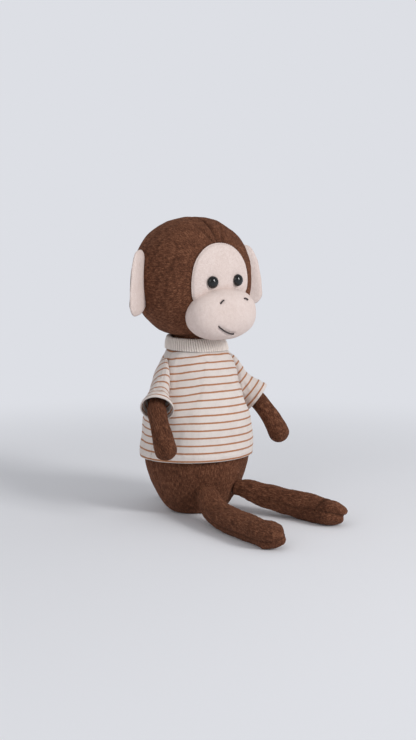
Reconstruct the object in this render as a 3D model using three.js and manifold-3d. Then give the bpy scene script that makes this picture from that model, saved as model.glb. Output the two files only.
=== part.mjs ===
// A sitting plush monkey in a striped knit shirt, as its sewn panels, stuffing and trim.
// Millimetres, +Z up. The toy faces -Y, its left side is +X, and the origin is under its seat.
import * as THREE from 'three';
import { mergeVertices } from 'three/addons/utils/BufferGeometryUtils.js';
import Module from 'manifold-3d';

const wasm = await Module();
wasm.setup();

// Shared clearances, cloth thicknesses and cutting sizes
const gap = 0.3;
const plush_wall = 1.8;
const jersey_wall = 1.2;
const overrun = 6;
const cutter_size = 500;
const weld = 0.001;
const flat_depth = 0.5;

// Torso
const torso_height = 124;
const torso_half_width = 42.5;
const torso_half_depth = 36.5;
const torso_height_shares = [0, 0.032, 0.073, 0.145, 0.218, 0.29, 0.371, 0.468, 0.613, 0.742, 0.871, 0.952,
  1];
const torso_width_shares = [0.47, 0.6, 0.69, 0.81, 0.905, 0.97, 1, 0.99, 0.91, 0.8, 0.72, 0.61, 0.5];
const pellet_bag_height = 24;

// Shirt
const shirt_hem_share = 0.347;
const shirt_neck_drop = 1.8;
const collar_height = 7.8;
const collar_wall = 1.8;
const collar_stand_off = 1.2;
const collar_flare = -2;
const collar_lean = 1.5;

// Armholes and sleeves
const armhole_height_share = 0.7823;
const armhole_inset = 1.3;
const armhole_lean = THREE.MathUtils.degToRad(15);
const armhole_half_height = 22;
const armhole_half_depth = 9.8;
const armhole_back = 0.8;
const cuff_radius = 11.4;
const cuff_out = 17.3;
const cuff_forward = 14;
const cuff_drop = 14;
const sleeve_puff = 6;
const sleeve_ring_shares = [[0, 0], [0.2, 1], [0.45, 0.8], [0.72, 0.4], [1, 0]];
const cuff_direction = new THREE.Vector3(0.6, -0.52, -0.6).normalize();

// Arms, as shares of the cuff's steps out, forward and down from the middle of the armhole
const arm_radius = 7.2;
const arm_out_shares = [0, 0.607, 0.983, 1.214, 1.353, 1.376];
const arm_forward_shares = [0, 0.45, 0.95, 1.571, 2.071, 2.5];
const arm_drop_shares = [0.071, 0.586, 1.071, 1.857, 2.643, 3.357];
const arm_section_shares = [[0, 0.7], [0.15, 0.8], [0.3, 0.88], [0.45, 0.96], [0.6, 0.95], [0.74, 1.03],
  [0.86, 1.08], [0.93, 0.95], [0.97, 0.72], [0.99, 0.42]];

// Neck and head
const neck_radius = 16.5;
const neck_height = 6.7;
const neck_back = 2;
const neck_ball_inset = 0.5;
const ball_clearance = 0.5;
const head_half_width = 48;
const head_half_depth = 36;
const head_half_height = 44;
const head_sit = 1.8;
const head_roundness_share = 2.2;
const head_lean = THREE.MathUtils.degToRad(2.9);
const neck_hole_clearance = 2;

// Face
const forehead_half_width = 28;
const forehead_tuck = 17;
const forehead_rise = 50;
const forehead_shares = [[0.72, 0], [0.87, 0.12], [0.96, 0.22], [1, 0.36], [0.98, 0.54], [0.89, 0.71],
  [0.7, 0.85], [0.42, 0.955], [0.16, 0.995]];
const muzzle_half_width = 30;
const muzzle_half_depth = 17;
const muzzle_half_height = 19;
const muzzle_forward_share = 0.778;
const muzzle_drop_share = 0.602;
const muzzle_roundness_share = 2.3;
const eye_radius = 4.5;
const eye_dome = 3.4;
const eye_side_share = 0.44;
const eye_rise = 4;
const shank_radius = 1.5;
const shank_length = 8.5;
const washer_radius = 5.5;
const washer_thickness = 1.5;
const washer_setback = 1.4;
const nostril_side_share = 0.387;
const nostril_rise_share = 0.53;
const nostril_length = 4.3;
const nostril_lean = THREE.MathUtils.degToRad(42);
const thread_radius = 0.5;
const thread_section_shares = [[0, 0.5], [0.03, 1], [0.97, 1], [1, 0.5]];
const mouth_width_share = 0.533;
const mouth_drop_share = 0.75;
const mouth_curl_share = 0.36;

// Ears
const ear_width = 17.3;
const ear_half_height = 22.5;
const ear_rise_share = -0.0386;
const ear_panel = 1.6;
const ear_stand_off = 0.6;
const ear_root_depth = 7;
const ear_lean = THREE.MathUtils.degToRad(27);
const ear_tilt = THREE.MathUtils.degToRad(6);
const ear_outline_shares = [[0, 0.75], [0.12, 0.95], [0.34, 1], [0.55, 0.86], [0.72, 0.55], [0.88, 0.1],
  [1, -0.4], [1, -0.78], [0.82, -0.98], [0.5, -1], [0.2, -0.93], [0, -0.8]];
const ear_turn_clearance = 0.99;

// Legs, as places of the middle of the leg from the hip to the toe
const hip_turn = THREE.MathUtils.degToRad(27);
const hip_height = 20;
const hip_half_thickness = 3.2;
const hip_clearance = 0.4;
const leg_radius = 9.2;
const leg_reach = 121;
const leg_stagger = 7;
const toe_side = 39;
const toe_height = 8.6;
const leg_out_shares = [0, 0.17, 0.46, 0.74, 0.9, 1];
const leg_forward_shares = [0, 0.08, 0.22, 0.48, 0.74, 1];
const leg_height_shares = [1, 0.62, 0.17, 0.03, 0, 0];
const leg_section_shares = [[0, 0.8, 0.12], [0.035, 0.93, 0.36], [0.09, 0.97, 0.6], [0.16, 0.97, 0.86],
  [0.26, 0.98, 0.98], [0.45, 1, 1], [0.66, 1, 0.98], [0.83, 1.12, 0.93],
  [0.9, 1.12, 0.92], [0.95, 0.97, 0.82], [0.98, 0.7, 0.6], [0.995, 0.4, 0.33]];

// Tail, as places of its middle from the root on the back to the tip
const tail_radius = 4.8;
const tail_root_radius = 2.6;
const tail_root_height = 21;
const tail_out = [0, 1, 8, 23, 39, 50];
const tail_back = [0, 8, 14, 13, 4, -8];
const tail_drop = [0, 3, 10, 15.9, 16.2, 16.2];
const tail_section_shares = [[0, 0.3], [0.03, 0.54], [0.12, 0.8], [0.3, 1], [0.6, 1], [0.85, 1], [0.94, 0.9],
  [0.98, 0.62], [0.995, 0.36]];

// Facets: how many sides a section has
const body_sides = 24;
const lining_sides = 14;
const limb_sides = 12;
const core_sides = 8;
const thread_sides = 5;
const eye_sides = 14;
const dome_steps = 5;
const seam_steps = 12;
const mouth_place_shares = [-1, -0.82, -0.64, -0.46, -0.28, -0.1];
const widest_section_share = 0.16;
const ear_outline_steps = 20;
const limb_end_share = 0.12;
const head_facets = { sides: 28, levels: 12 };
const muzzle_facets = { sides: 24, levels: 10 };
const head_lining_facets = { sides: 18, levels: 8 };
const muzzle_lining_facets = { sides: 16, levels: 7 };

const world_up = new THREE.Vector3(0, 0, 1);
const world_side = new THREE.Vector3(1, 0, 0);
const world_back = new THREE.Vector3(0, 1, 0);

// Colours and finishes
function cloth(color) {
  return new THREE.MeshStandardMaterial({ color, roughness: 0.95, metalness: 0 });
}
const brown_plush = cloth(0x4d3024);
const cream_plush = cloth(0xdbcdc6);
const striped_jersey = cloth(0xd8d0cc);
const ribbed_knit = cloth(0xc6beb6);
const stuffing = cloth(0xf2f0ea);
const pellet_cloth = cloth(0xe5e0d4);
const dark_thread = cloth(0x3a2a28);
const eye_plastic = new THREE.MeshStandardMaterial({ color: 0x0b0b0d, roughness: 0.12, metalness: 0 });
const washer_plastic = new THREE.MeshStandardMaterial({ color: 0xe8e6e0, roughness: 0.5, metalness: 0 });

// Turns a closed geometry into a solid that can be joined and cut
function to_solid(geometry) {
  const bare = geometry.clone();
  bare.deleteAttribute('normal');
  bare.deleteAttribute('uv');
  const merged = mergeVertices(bare, weld);
  const vertProperties = new Float32Array(merged.attributes.position.array);
  const triVerts = new Uint32Array(merged.index.array);
  return new wasm.Manifold(new wasm.Mesh({ numProp: 3, vertProperties, triVerts }));
}

function to_geometry(solid) {
  const mesh = solid.getMesh();
  const geometry = new THREE.BufferGeometry();
  geometry.setAttribute('position', new THREE.BufferAttribute(new Float32Array(mesh.vertProperties), 3));
  geometry.setIndex(new THREE.BufferAttribute(new Uint32Array(mesh.triVerts), 1));
  geometry.computeVertexNormals();
  return geometry;
}

function signed_volume(points, faces) {
  let sum = 0;
  for (let i = 0; i < faces.length; i += 3) {
    const [a, b, c] = [points[faces[i]], points[faces[i + 1]], points[faces[i + 2]]];
    sum += a.dot(new THREE.Vector3().crossVectors(b, c));
  }
  return sum;
}

// Skins a row of closed rings with equal counts and closes each end on its own middle
function loft(rings) {
  const around = rings[0].length;
  const middle = (ring) => ring.reduce((sum, p) => sum.add(p), new THREE.Vector3()).divideScalar(around);
  const points = [...rings.flat(), middle(rings[0]), middle(rings[rings.length - 1])];
  const first = rings.length * around;
  const last_ring = (rings.length - 1) * around;
  const faces = [];
  for (let j = 0; j < around; j += 1) {
    const k = (j + 1) % around;
    for (let i = 0; i < last_ring; i += around) {
      faces.push(i + j, i + k, i + around + k, i + j, i + around + k, i + around + j);
    }
    faces.push(first, k, j, first + 1, last_ring + j, last_ring + k);
  }
  if (signed_volume(points, faces) < 0) faces.reverse();
  const geometry = new THREE.BufferGeometry().setFromPoints(points);
  geometry.setIndex(faces);
  return geometry;
}

// An oval ring of points about a centre
function ring(centre, side, up, half_side, half_up, count) {
  return Array.from({ length: count }, (_, j) => {
    const angle = (j / count) * 2 * Math.PI;
    return centre.clone()
      .addScaledVector(side, half_side * Math.cos(angle))
      .addScaledVector(up, half_up * Math.sin(angle));
  });
}

// The same geometry on the toy's other side
function mirrored(geometry) {
  const copy = geometry.clone();
  copy.scale(-1, 1, 1);
  copy.setIndex(Array.from(copy.index.array).reverse());
  return copy;
}

// A block that fills the side of a plane that the plane's normal points to
function beyond_plane(point, normal, offset) {
  const block = new THREE.BoxGeometry(cutter_size, cutter_size, cutter_size);
  const turn = new THREE.Quaternion().setFromUnitVectors(world_up, normal);
  const centre = point.clone().addScaledVector(normal, offset + cutter_size / 2);
  block.applyQuaternion(turn).translate(centre.x, centre.y, centre.z);
  return to_solid(block);
}

const floor_cut = beyond_plane(new THREE.Vector3(), world_up.clone().negate(), 0);

// Heights of the shirt, the neck, the head and its face, each set from the piece it is sewn to
const shirt_hem_height = torso_height * shirt_hem_share;
const shirt_top = torso_height - shirt_neck_drop;
const armhole_height = torso_height * armhole_height_share;
const neck_foot = torso_height + gap;
const nod_height = neck_foot + neck_height - gap;
const neck_ball_radius = neck_radius - neck_ball_inset;
const head_middle_height = nod_height + head_sit + head_half_height;
const muzzle_height = head_middle_height - muzzle_drop_share * head_half_height;
const muzzle_top = muzzle_height + muzzle_half_height;
const forehead_foot = muzzle_top - forehead_tuck;
const eye_height = muzzle_top + eye_rise;
const ear_height = head_middle_height + ear_rise_share * head_half_height;

// Half-width of the torso as a share of its widest, at a height
const torso_outline = new THREE.LinearInterpolant(torso_height_shares, torso_width_shares, 1);
function torso_share(height) {
  return torso_outline.evaluate(height / torso_height)[0];
}

// A place on the torso's surface, turned about from its front, and the direction that faces out
function torso_surface(turn, height) {
  const [half_width, half_depth] = [torso_half_width, torso_half_depth]
    .map((half) => half * torso_share(height));
  const point = new THREE.Vector3(half_width * Math.sin(turn), -half_depth * Math.cos(turn), height);
  const rise = torso_half_width * (torso_share(height + gap) - torso_share(height - gap)) / (gap + gap);
  const normal = new THREE.Vector3(Math.sin(turn) / half_width, -Math.cos(turn) / half_depth, 0).normalize();
  normal.z = -rise;
  return { point, normal: normal.normalize() };
}

const armhole_normal = new THREE.Vector3(Math.cos(armhole_lean), 0, Math.sin(armhole_lean));
const armhole_up = new THREE.Vector3(-Math.sin(armhole_lean), 0, Math.cos(armhole_lean));
const shirt_grow = gap + jersey_wall;
const armhole_middle = new THREE.Vector3(
  torso_half_width * torso_share(armhole_height) + shirt_grow - armhole_inset, 0, armhole_height);

// Flat places on both flanks of the torso where the armholes are sewn
function cut_flanks(solid, offset) {
  const other_middle = armhole_middle.clone().multiply(new THREE.Vector3(-1, 1, 1));
  const other_normal = armhole_normal.clone().multiply(new THREE.Vector3(-1, 1, 1));
  return solid
    .subtract(beyond_plane(armhole_middle, armhole_normal, offset))
    .subtract(beyond_plane(other_middle, other_normal, offset));
}

// The pear of the torso between two heights, grown or shrunk all round
function torso_form(grow, low, high, sides) {
  const between = torso_height_shares.map((share) => share * torso_height)
    .filter((height) => height > low + gap && height < high - gap);
  const rings = [low, ...between, high].map((height) => {
    const share = torso_share(height);
    const centre = new THREE.Vector3(0, 0, height);
    const half_width = torso_half_width * share + grow;
    return ring(centre, world_side, world_back, half_width, torso_half_depth * share + grow, sides);
  });
  return cut_flanks(to_solid(loft(rings)), grow - shirt_grow);
}

function body_skin() {
  const outside = torso_form(0, -flat_depth, torso_height, body_sides);
  const hollow = torso_form(-plush_wall, plush_wall, torso_height + overrun, lining_sides);
  return outside.subtract(floor_cut).subtract(hollow);
}

function seat_pellet_bag() {
  return torso_form(-plush_wall - gap, plush_wall + gap, pellet_bag_height, lining_sides);
}

function body_filling() {
  return torso_form(-plush_wall - gap, pellet_bag_height + gap, torso_height - gap, lining_sides);
}

// The shirt's body, of which the front and the back are cut as two panels
function shirt_tube() {
  const outside = torso_form(shirt_grow, shirt_hem_height, shirt_top, body_sides);
  const inside = torso_form(gap, shirt_hem_height - overrun, shirt_top + overrun, body_sides);
  return outside.subtract(inside);
}

function shirt_panel(facing) {
  const behind = beyond_plane(new THREE.Vector3(), new THREE.Vector3(0, -facing, 0), -gap / 2);
  return shirt_tube().subtract(behind);
}

function shirt_collar() {
  const foot = shirt_top + gap;
  const [half_width, half_depth] = [torso_half_width, torso_half_depth]
    .map((half) => half * torso_share(foot) + shirt_grow + collar_stand_off);
  const wall_form = (grow, low, high) => {
    const rings = [low, high].map((height) => {
      const share = (height - foot) / collar_height;
      const spread = grow + collar_flare * share;
      const centre = new THREE.Vector3(0, collar_lean * share, height);
      return ring(centre, world_side, world_back, half_width + spread, half_depth + spread, body_sides);
    });
    return to_solid(loft(rings));
  };
  return wall_form(0, foot, foot + collar_height)
    .subtract(wall_form(-collar_wall, foot - overrun, foot + collar_height + overrun));
}

// Where the armhole ring and the cuff ring of the toy's left sleeve lie; its cap puffs up between them
const armhole_ring_middle = armhole_middle.clone().add(new THREE.Vector3(0, armhole_back, 0));
const cuff_middle = armhole_middle.clone().add(new THREE.Vector3(cuff_out, -cuff_forward, -cuff_drop));

function sleeve_form(grow, past) {
  const cuff_up = world_up.clone().addScaledVector(cuff_direction, -cuff_direction.z).normalize();
  const cuff_side = new THREE.Vector3().crossVectors(cuff_direction, cuff_up);
  const armhole_side = new THREE.Vector3().crossVectors(armhole_normal, armhole_up);
  const root = armhole_ring_middle.clone().addScaledVector(armhole_normal, gap);
  const rings = sleeve_ring_shares.map(([share, puff_share]) => {
    const lift = (puff_share * sleeve_puff) / 2;
    const side = armhole_side.clone().lerp(cuff_side, share).normalize();
    const up = armhole_up.clone().lerp(cuff_up, share).normalize();
    const centre = root.clone().lerp(cuff_middle, share).addScaledVector(up, lift);
    const half_side = THREE.MathUtils.lerp(armhole_half_depth, cuff_radius, share) + grow;
    const half_up = THREE.MathUtils.lerp(armhole_half_height, cuff_radius, share) + lift + grow;
    return ring(centre, side, up, half_side, half_up, lining_sides);
  });
  const moved = (points, direction, distance) => points
    .map((p) => p.clone().addScaledVector(direction, distance));
  if (past > 0) {
    rings.unshift(moved(rings[0], armhole_normal, -past));
    rings.push(moved(rings[rings.length - 1], cuff_direction, past));
  }
  return to_solid(loft(rings));
}

function sleeve() {
  const flank = beyond_plane(armhole_middle, armhole_normal.clone().negate(), -gap);
  return sleeve_form(0, 0).subtract(sleeve_form(-jersey_wall, overrun)).subtract(flank);
}

// A point at a length along a curve, carried on straight past both ends
function along(curve, length, distance) {
  const share = THREE.MathUtils.clamp(distance / length, 0, 1);
  const tangent = curve.getTangentAt(share);
  const point = curve.getPointAt(share).addScaledVector(tangent, distance - share * length);
  return { point, tangent };
}

// Sections with further ones set evenly between them, none further apart than a share of the length
function close_sections(sections, widest_share) {
  return sections.flatMap((section, i) => {
    const next = sections[i + 1];
    if (!next) return [section];
    const count = Math.ceil((next[0] - section[0]) / widest_share);
    return Array.from({ length: count }, (_, k) => section
      .map((value, n) => value + ((next[n] - value) * k) / count));
  });
}

// Sections as wide as they are thick
function round_sections(shares, radius) {
  return shares.map(([share, size]) => [share, size * radius, size * radius]);
}

// A round limb along a curve; each section gives its place and its half-width and half-thickness
function limb_form(curve, sections, grow, start, sides, up) {
  const length = curve.getLength();
  const rings = close_sections(sections, widest_section_share).map(([share, wide, thick]) => {
    const from_start = start * Math.max(0, 1 - share / limb_end_share);
    const from_end = grow * Math.max(0, 1 - (1 - share) / limb_end_share);
    const { point, tangent } = along(curve, length, share * length + from_start + from_end);
    const side = new THREE.Vector3().crossVectors(tangent, up).normalize();
    const over = new THREE.Vector3().crossVectors(side, tangent);
    const least = gap;
    return ring(point, side, over, Math.max(wide + grow, least), Math.max(thick + grow, least), sides);
  });
  return to_solid(loft(rings));
}

const arm_curve = new THREE.CatmullRomCurve3(arm_out_shares.map((out, i) => {
  const [forward, drop] = [cuff_forward * arm_forward_shares[i], cuff_drop * arm_drop_shares[i]];
  return armhole_middle.clone().add(new THREE.Vector3(cuff_out * out, -forward, -drop));
}));

const arm_sections = round_sections(arm_section_shares, arm_radius);

function arm_form(grow, start, sides) {
  const flank = beyond_plane(armhole_middle, armhole_normal.clone().negate(), -gap);
  return limb_form(arm_curve, arm_sections, grow, start, sides, armhole_up).subtract(flank);
}

function arm_skin() {
  const hollow = limb_form(arm_curve, arm_sections, -plush_wall, -overrun, core_sides, armhole_up);
  return arm_form(0, -overrun, limb_sides).subtract(hollow);
}

function arm_filling() {
  return arm_form(-plush_wall - gap, -overrun, core_sides);
}

// The neck tube on the torso, and its stuffing, which swells into a ball under the head
function turned(profile, sides) {
  const geometry = new THREE.LatheGeometry(profile.map(([r, h]) => new THREE.Vector2(r, h)), sides);
  geometry.rotateX(Math.PI / 2);
  geometry.translate(0, neck_back, 0);
  return to_solid(geometry);
}

function neck_skin() {
  const top = neck_foot + neck_height;
  const tube = [[neck_radius - plush_wall, neck_foot], [neck_radius, neck_foot], [neck_radius, top],
    [neck_radius - plush_wall, top], [neck_radius - plush_wall, neck_foot]];
  return turned(tube, body_sides);
}

// The profile of a dome from an angle up to its top
function dome_profile(radius, rise, foot, from_angle) {
  return Array.from({ length: dome_steps + 1 }, (_, i) => {
    const angle = THREE.MathUtils.lerp(from_angle, Math.PI / 2, i / dome_steps);
    return [i === dome_steps ? 0 : radius * Math.cos(angle), foot + rise * Math.sin(angle)];
  });
}

function neck_filling() {
  const core_radius = neck_radius - plush_wall - gap;
  const shoulder = neck_foot + neck_height + gap;
  const from_angle = Math.asin((shoulder - nod_height) / neck_ball_radius);
  const profile = [[0, neck_foot], [core_radius, neck_foot], [core_radius, shoulder],
    ...dome_profile(neck_ball_radius, neck_ball_radius, nod_height, from_angle)];
  return turned(profile, lining_sides);
}

// A plump rounded form, given as a middle, three half sizes and how full it is
function plump_form(form, grow, { sides, levels }) {
  const power = 2 / form.roundness;
  const full = (value) => Math.sign(value) * Math.abs(value) ** power;
  const rings = Array.from({ length: levels - 1 }, (_, i) => {
    const angle = ((i + 1) / levels - 0.5) * Math.PI;
    const share = full(Math.cos(angle));
    return Array.from({ length: sides }, (_unused, j) => {
      const turn = ((j + 0.5) / sides) * 2 * Math.PI;
      return new THREE.Vector3(
        form.middle.x + (form.half.x + grow) * share * full(Math.cos(turn)),
        form.middle.y + (form.half.y + grow) * share * full(Math.sin(turn)),
        form.middle.z + (form.half.z + grow) * full(Math.sin(angle)));
    });
  });
  return to_solid(loft(rings));
}

const head_form = {
  middle: new THREE.Vector3(0, neck_back, head_middle_height),
  half: new THREE.Vector3(head_half_width, head_half_depth, head_half_height),
  roundness: head_roundness_share,
};
const muzzle_form = {
  middle: new THREE.Vector3(0, -muzzle_forward_share * head_half_depth, muzzle_height),
  half: new THREE.Vector3(muzzle_half_width, muzzle_half_depth, muzzle_half_height),
  roundness: muzzle_roundness_share,
};

// The front of a plump form at a place across and up, with the direction that faces out there
function front_of(form, x, z) {
  const n = form.roundness;
  const [u, w] = [(x - form.middle.x) / form.half.x, (z - form.middle.z) / form.half.z];
  const v = -((1 - Math.abs(u) ** n - Math.abs(w) ** n) ** (1 / n));
  const slope = (share, half) => (Math.sign(share) * Math.abs(share) ** (n - 1)) / half;
  const normal = new THREE.Vector3(slope(u, form.half.x), slope(v, form.half.y), slope(w, form.half.z));
  return { point: new THREE.Vector3(x, form.middle.y + v * form.half.y, z), normal: normal.normalize() };
}

// The arch of the forehead patch, as a block that runs through the front of the head
function forehead_block(grow) {
  const right = forehead_shares.map(([across, up]) => new THREE.Vector2(
    across * forehead_half_width + grow, forehead_foot + up * forehead_rise + grow));
  const left = right.map((p) => new THREE.Vector2(-p.x, p.y)).reverse();
  const geometry = new THREE.ExtrudeGeometry(new THREE.Shape([...right, ...left]),
    { depth: head_half_depth + overrun, bevelEnabled: false });
  geometry.rotateX(Math.PI / 2);
  return to_solid(geometry);
}

function head_shell() {
  const hollow = plump_form(head_form, -plush_wall, head_lining_facets);
  return plump_form(head_form, 0, head_facets).subtract(hollow);
}

function neck_hole() {
  const low = head_middle_height - head_half_height - overrun;
  const radius = neck_radius + neck_hole_clearance;
  return turned([[0, low], [radius, low], [radius, head_middle_height], [0, head_middle_height]], body_sides);
}

function head_side(facing) {
  const other_half = beyond_plane(new THREE.Vector3(), new THREE.Vector3(-facing, 0, 0), -gap / 2);
  return head_shell()
    .subtract(forehead_block(gap / 2))
    .subtract(plump_form(muzzle_form, gap, muzzle_facets))
    .subtract(neck_hole())
    .subtract(other_half);
}

// A piece turned about its own axis that stands out of the head at an eye
function at_eye(profile, sides, facing) {
  const { point, normal } = front_of(head_form, facing * eye_side_share * forehead_half_width, eye_height);
  const geometry = new THREE.LatheGeometry(profile.map(([r, h]) => new THREE.Vector2(r, h)), sides);
  const turn = new THREE.Quaternion().setFromUnitVectors(new THREE.Vector3(0, 1, 0), normal);
  geometry.applyQuaternion(turn).translate(point.x, point.y, point.z);
  return to_solid(geometry);
}

function eye(facing) {
  return at_eye([[0, -shank_length], [shank_radius, -shank_length], [shank_radius, gap],
    [eye_radius - gap, gap], ...dome_profile(eye_radius, eye_dome, gap + gap, 0)], eye_sides, facing);
}

function eye_washer(facing) {
  const front = -plush_wall - washer_setback;
  const back = front - washer_thickness;
  const bore = shank_radius + gap;
  return at_eye([[bore, back], [washer_radius, back], [washer_radius, front], [bore, front], [bore, back]],
    eye_sides, facing);
}

// Room for one eye's shank and washer
function eye_room(radius, depth, facing) {
  return at_eye([[0, -depth], [radius, -depth], [radius, overrun], [0, overrun]], eye_sides, facing);
}

function forehead_patch() {
  let patch = head_shell()
    .intersect(forehead_block(-gap / 2))
    .subtract(plump_form(muzzle_form, gap, muzzle_facets));
  for (const facing of [1, -1]) patch = patch.subtract(eye_room(shank_radius + gap, shank_length, facing));
  return patch;
}

function muzzle_patch() {
  return plump_form(muzzle_form, 0, muzzle_facets)
    .subtract(plump_form(muzzle_form, -plush_wall, muzzle_lining_facets))
    .subtract(plump_form(head_form, -plush_wall, head_lining_facets));
}

function head_filling() {
  const room = neck_ball_radius + ball_clearance;
  let filling = plump_form(head_form, -plush_wall - gap, head_lining_facets)
    .subtract(turned([[0, nod_height - room], [room, nod_height - room],
      ...dome_profile(room, room, nod_height, 0)], lining_sides));
  filling = filling.subtract(plump_form(muzzle_form, gap, muzzle_facets));
  for (const facing of [1, -1]) {
    filling = filling.subtract(eye_room(washer_radius + gap, shank_length + gap, facing));
  }
  return filling;
}

function muzzle_filling() {
  return plump_form(muzzle_form, -plush_wall - gap, muzzle_lining_facets);
}

// A thread laid on the muzzle through places across and up
function thread(places) {
  const lift = thread_radius + gap;
  const points = places.map(([x, z]) => {
    const { point, normal } = front_of(muzzle_form, x, z);
    return point.addScaledVector(normal, lift);
  });
  const curve = new THREE.CatmullRomCurve3(points);
  const sections = round_sections(thread_section_shares, thread_radius);
  return limb_form(curve, sections, 0, 0, thread_sides, world_up.clone().setX(0.2));
}

function nostril(facing) {
  const [run, rise] = [Math.cos(nostril_lean), Math.sin(nostril_lean)].map((s) => (s * nostril_length) / 2);
  const side = nostril_side_share * muzzle_half_width;
  const height = muzzle_height + nostril_rise_share * muzzle_half_height;
  return thread([-1, 0, 1].map((end) => [facing * (side - end * run), height + end * rise]));
}

function mouth() {
  return thread(mouth_place_shares.map((share) => [share * mouth_width_share * muzzle_half_width,
    muzzle_height - (mouth_drop_share - mouth_curl_share * share * share) * muzzle_half_height]));
}

// The ear's hinge line stands on the side of the head, and its panel plane leans forward
const ear_out = new THREE.Vector3(Math.cos(ear_lean), -Math.sin(ear_lean), 0);
const ear_up = new THREE.Vector3(-Math.sin(ear_tilt), 0, Math.cos(ear_tilt));
const ear_root = new THREE.Vector3(head_half_width + ear_stand_off, neck_back, ear_height);

function ear_panel_geometry(low, high) {
  const outline = ear_outline_shares.map(([out, up]) => new THREE.Vector2(
    out * (ear_width + ear_root_depth) - ear_root_depth, up * ear_half_height));
  const curve = new THREE.SplineCurve(outline);
  const shape = new THREE.Shape(curve.getPoints(ear_outline_steps));
  const geometry = new THREE.ExtrudeGeometry(shape, { depth: high - low, bevelEnabled: false });
  geometry.translate(0, 0, low);
  const out = ear_out;
  const front = new THREE.Vector3().crossVectors(out, ear_up).normalize();
  const up = new THREE.Vector3().crossVectors(front, out);
  const place = new THREE.Matrix4().makeBasis(out, up, front).setPosition(ear_root);
  return geometry.applyMatrix4(place);
}

// Each ear is two panels; the head, with room for the ear to flap, cuts their roots
function ear(low, high) {
  const panel = to_solid(ear_panel_geometry(low, high));
  return panel.subtract(plump_form(head_form, ear_turn_clearance, head_facets));
}

// The hip hinge lies along the torso, half the pinched seam's thickness out from it
const hip_place = torso_surface(hip_turn, hip_height);
const hip = hip_place.point.clone().addScaledVector(hip_place.normal, hip_half_thickness + hip_clearance);

// The middle of a leg on the toy's left, given how far forward its toe reaches
function leg_curve(reach) {
  return new THREE.CatmullRomCurve3(leg_out_shares.map((out, i) => new THREE.Vector3(
    THREE.MathUtils.lerp(hip.x, toe_side, out),
    THREE.MathUtils.lerp(hip.y, -reach, leg_forward_shares[i]),
    THREE.MathUtils.lerp(toe_height, hip.z, leg_height_shares[i]))));
}

function leg_form(reach, grow, sides) {
  const sections = leg_section_shares
    .map(([share, wide, thick]) => [share, wide * leg_radius, thick * leg_radius]);
  return limb_form(leg_curve(reach), sections, grow, -hip_half_thickness - grow, sides, world_up);
}

// A block above or below the leg's side seam
function seam_block(reach, facing) {
  const spine = leg_curve(reach).getPoints(seam_steps)
    .map((p) => new THREE.Vector2(p.y, p.z + (facing * gap) / 2));
  const [hip, toe] = [spine[0], spine[spine.length - 1]];
  const far = cutter_size / 2;
  const outline = [new THREE.Vector2(hip.x + far, hip.y), ...spine, new THREE.Vector2(toe.x - far, toe.y),
    new THREE.Vector2(toe.x - far, facing * far), new THREE.Vector2(hip.x + far, facing * far)];
  const geometry = new THREE.ExtrudeGeometry(new THREE.Shape(outline), { depth: far, bevelEnabled: false });
  geometry.applyMatrix4(new THREE.Matrix4().makeBasis(
    new THREE.Vector3(0, 1, 0), new THREE.Vector3(0, 0, 1), new THREE.Vector3(1, 0, 0)));
  return to_solid(geometry);
}

function leg_panel(reach, facing) {
  return leg_form(reach, 0, limb_sides)
    .subtract(leg_form(reach, -plush_wall, core_sides))
    .subtract(floor_cut)
    .intersect(seam_block(reach, facing));
}

function leg_filling(reach) {
  return leg_form(reach, -plush_wall - gap, core_sides).subtract(floor_cut);
}

const tail_place = torso_surface(Math.PI, tail_root_height);
const tail_root = tail_place.point.clone()
  .addScaledVector(tail_place.normal, tail_root_radius + hip_clearance);
const tail_curve = new THREE.CatmullRomCurve3(tail_out.map((out, i) => tail_root.clone()
  .add(new THREE.Vector3(out, tail_back[i], -tail_drop[i]))));

function tail_form(grow, start, sides) {
  const sections = round_sections(tail_section_shares, tail_radius);
  return limb_form(tail_curve, sections, grow, start, sides, world_up);
}

function tail_skin() {
  return tail_form(0, -tail_root_radius, limb_sides - 2)
    .subtract(tail_form(-plush_wall, -tail_root_radius - gap, core_sides))
    .subtract(floor_cut);
}

function tail_filling() {
  return tail_form(-plush_wall - gap, plush_wall, core_sides);
}

const monkey = new THREE.Group();

function add_piece(name, geometry, material) {
  const mesh = new THREE.Mesh(geometry, material);
  mesh.name = name;
  monkey.add(mesh);
}

function add_solid(name, solid, material) {
  add_piece(name, to_geometry(solid), material);
}

// A piece of the toy's left side and its mirror image on the right
function add_pair(name, solid, material) {
  const geometry = to_geometry(solid);
  add_piece(`${name}_left`, geometry, material);
  add_piece(`${name}_right`, mirrored(geometry), material);
}

// The toy's right leg is stretched further forward than its left
function add_legs(name, form, material) {
  add_solid(`${name}_left`, form(leg_reach - leg_stagger), material);
  add_piece(`${name}_right`, mirrored(to_geometry(form(leg_reach + leg_stagger))), material);
}

// The head is held a little to the toy's right, turned about the middle of the neck's ball
function leaned(geometry) {
  const copy = geometry.clone();
  copy.translate(0, 0, -nod_height);
  copy.rotateY(-head_lean);
  copy.translate(0, 0, nod_height);
  return copy;
}

function add_to_head(name, solid, material) {
  add_piece(name, leaned(to_geometry(solid)), material);
}

function add_head_pair(name, solid, material) {
  const geometry = to_geometry(solid);
  add_piece(`${name}_left`, leaned(geometry), material);
  add_piece(`${name}_right`, leaned(mirrored(geometry)), material);
}

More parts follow.
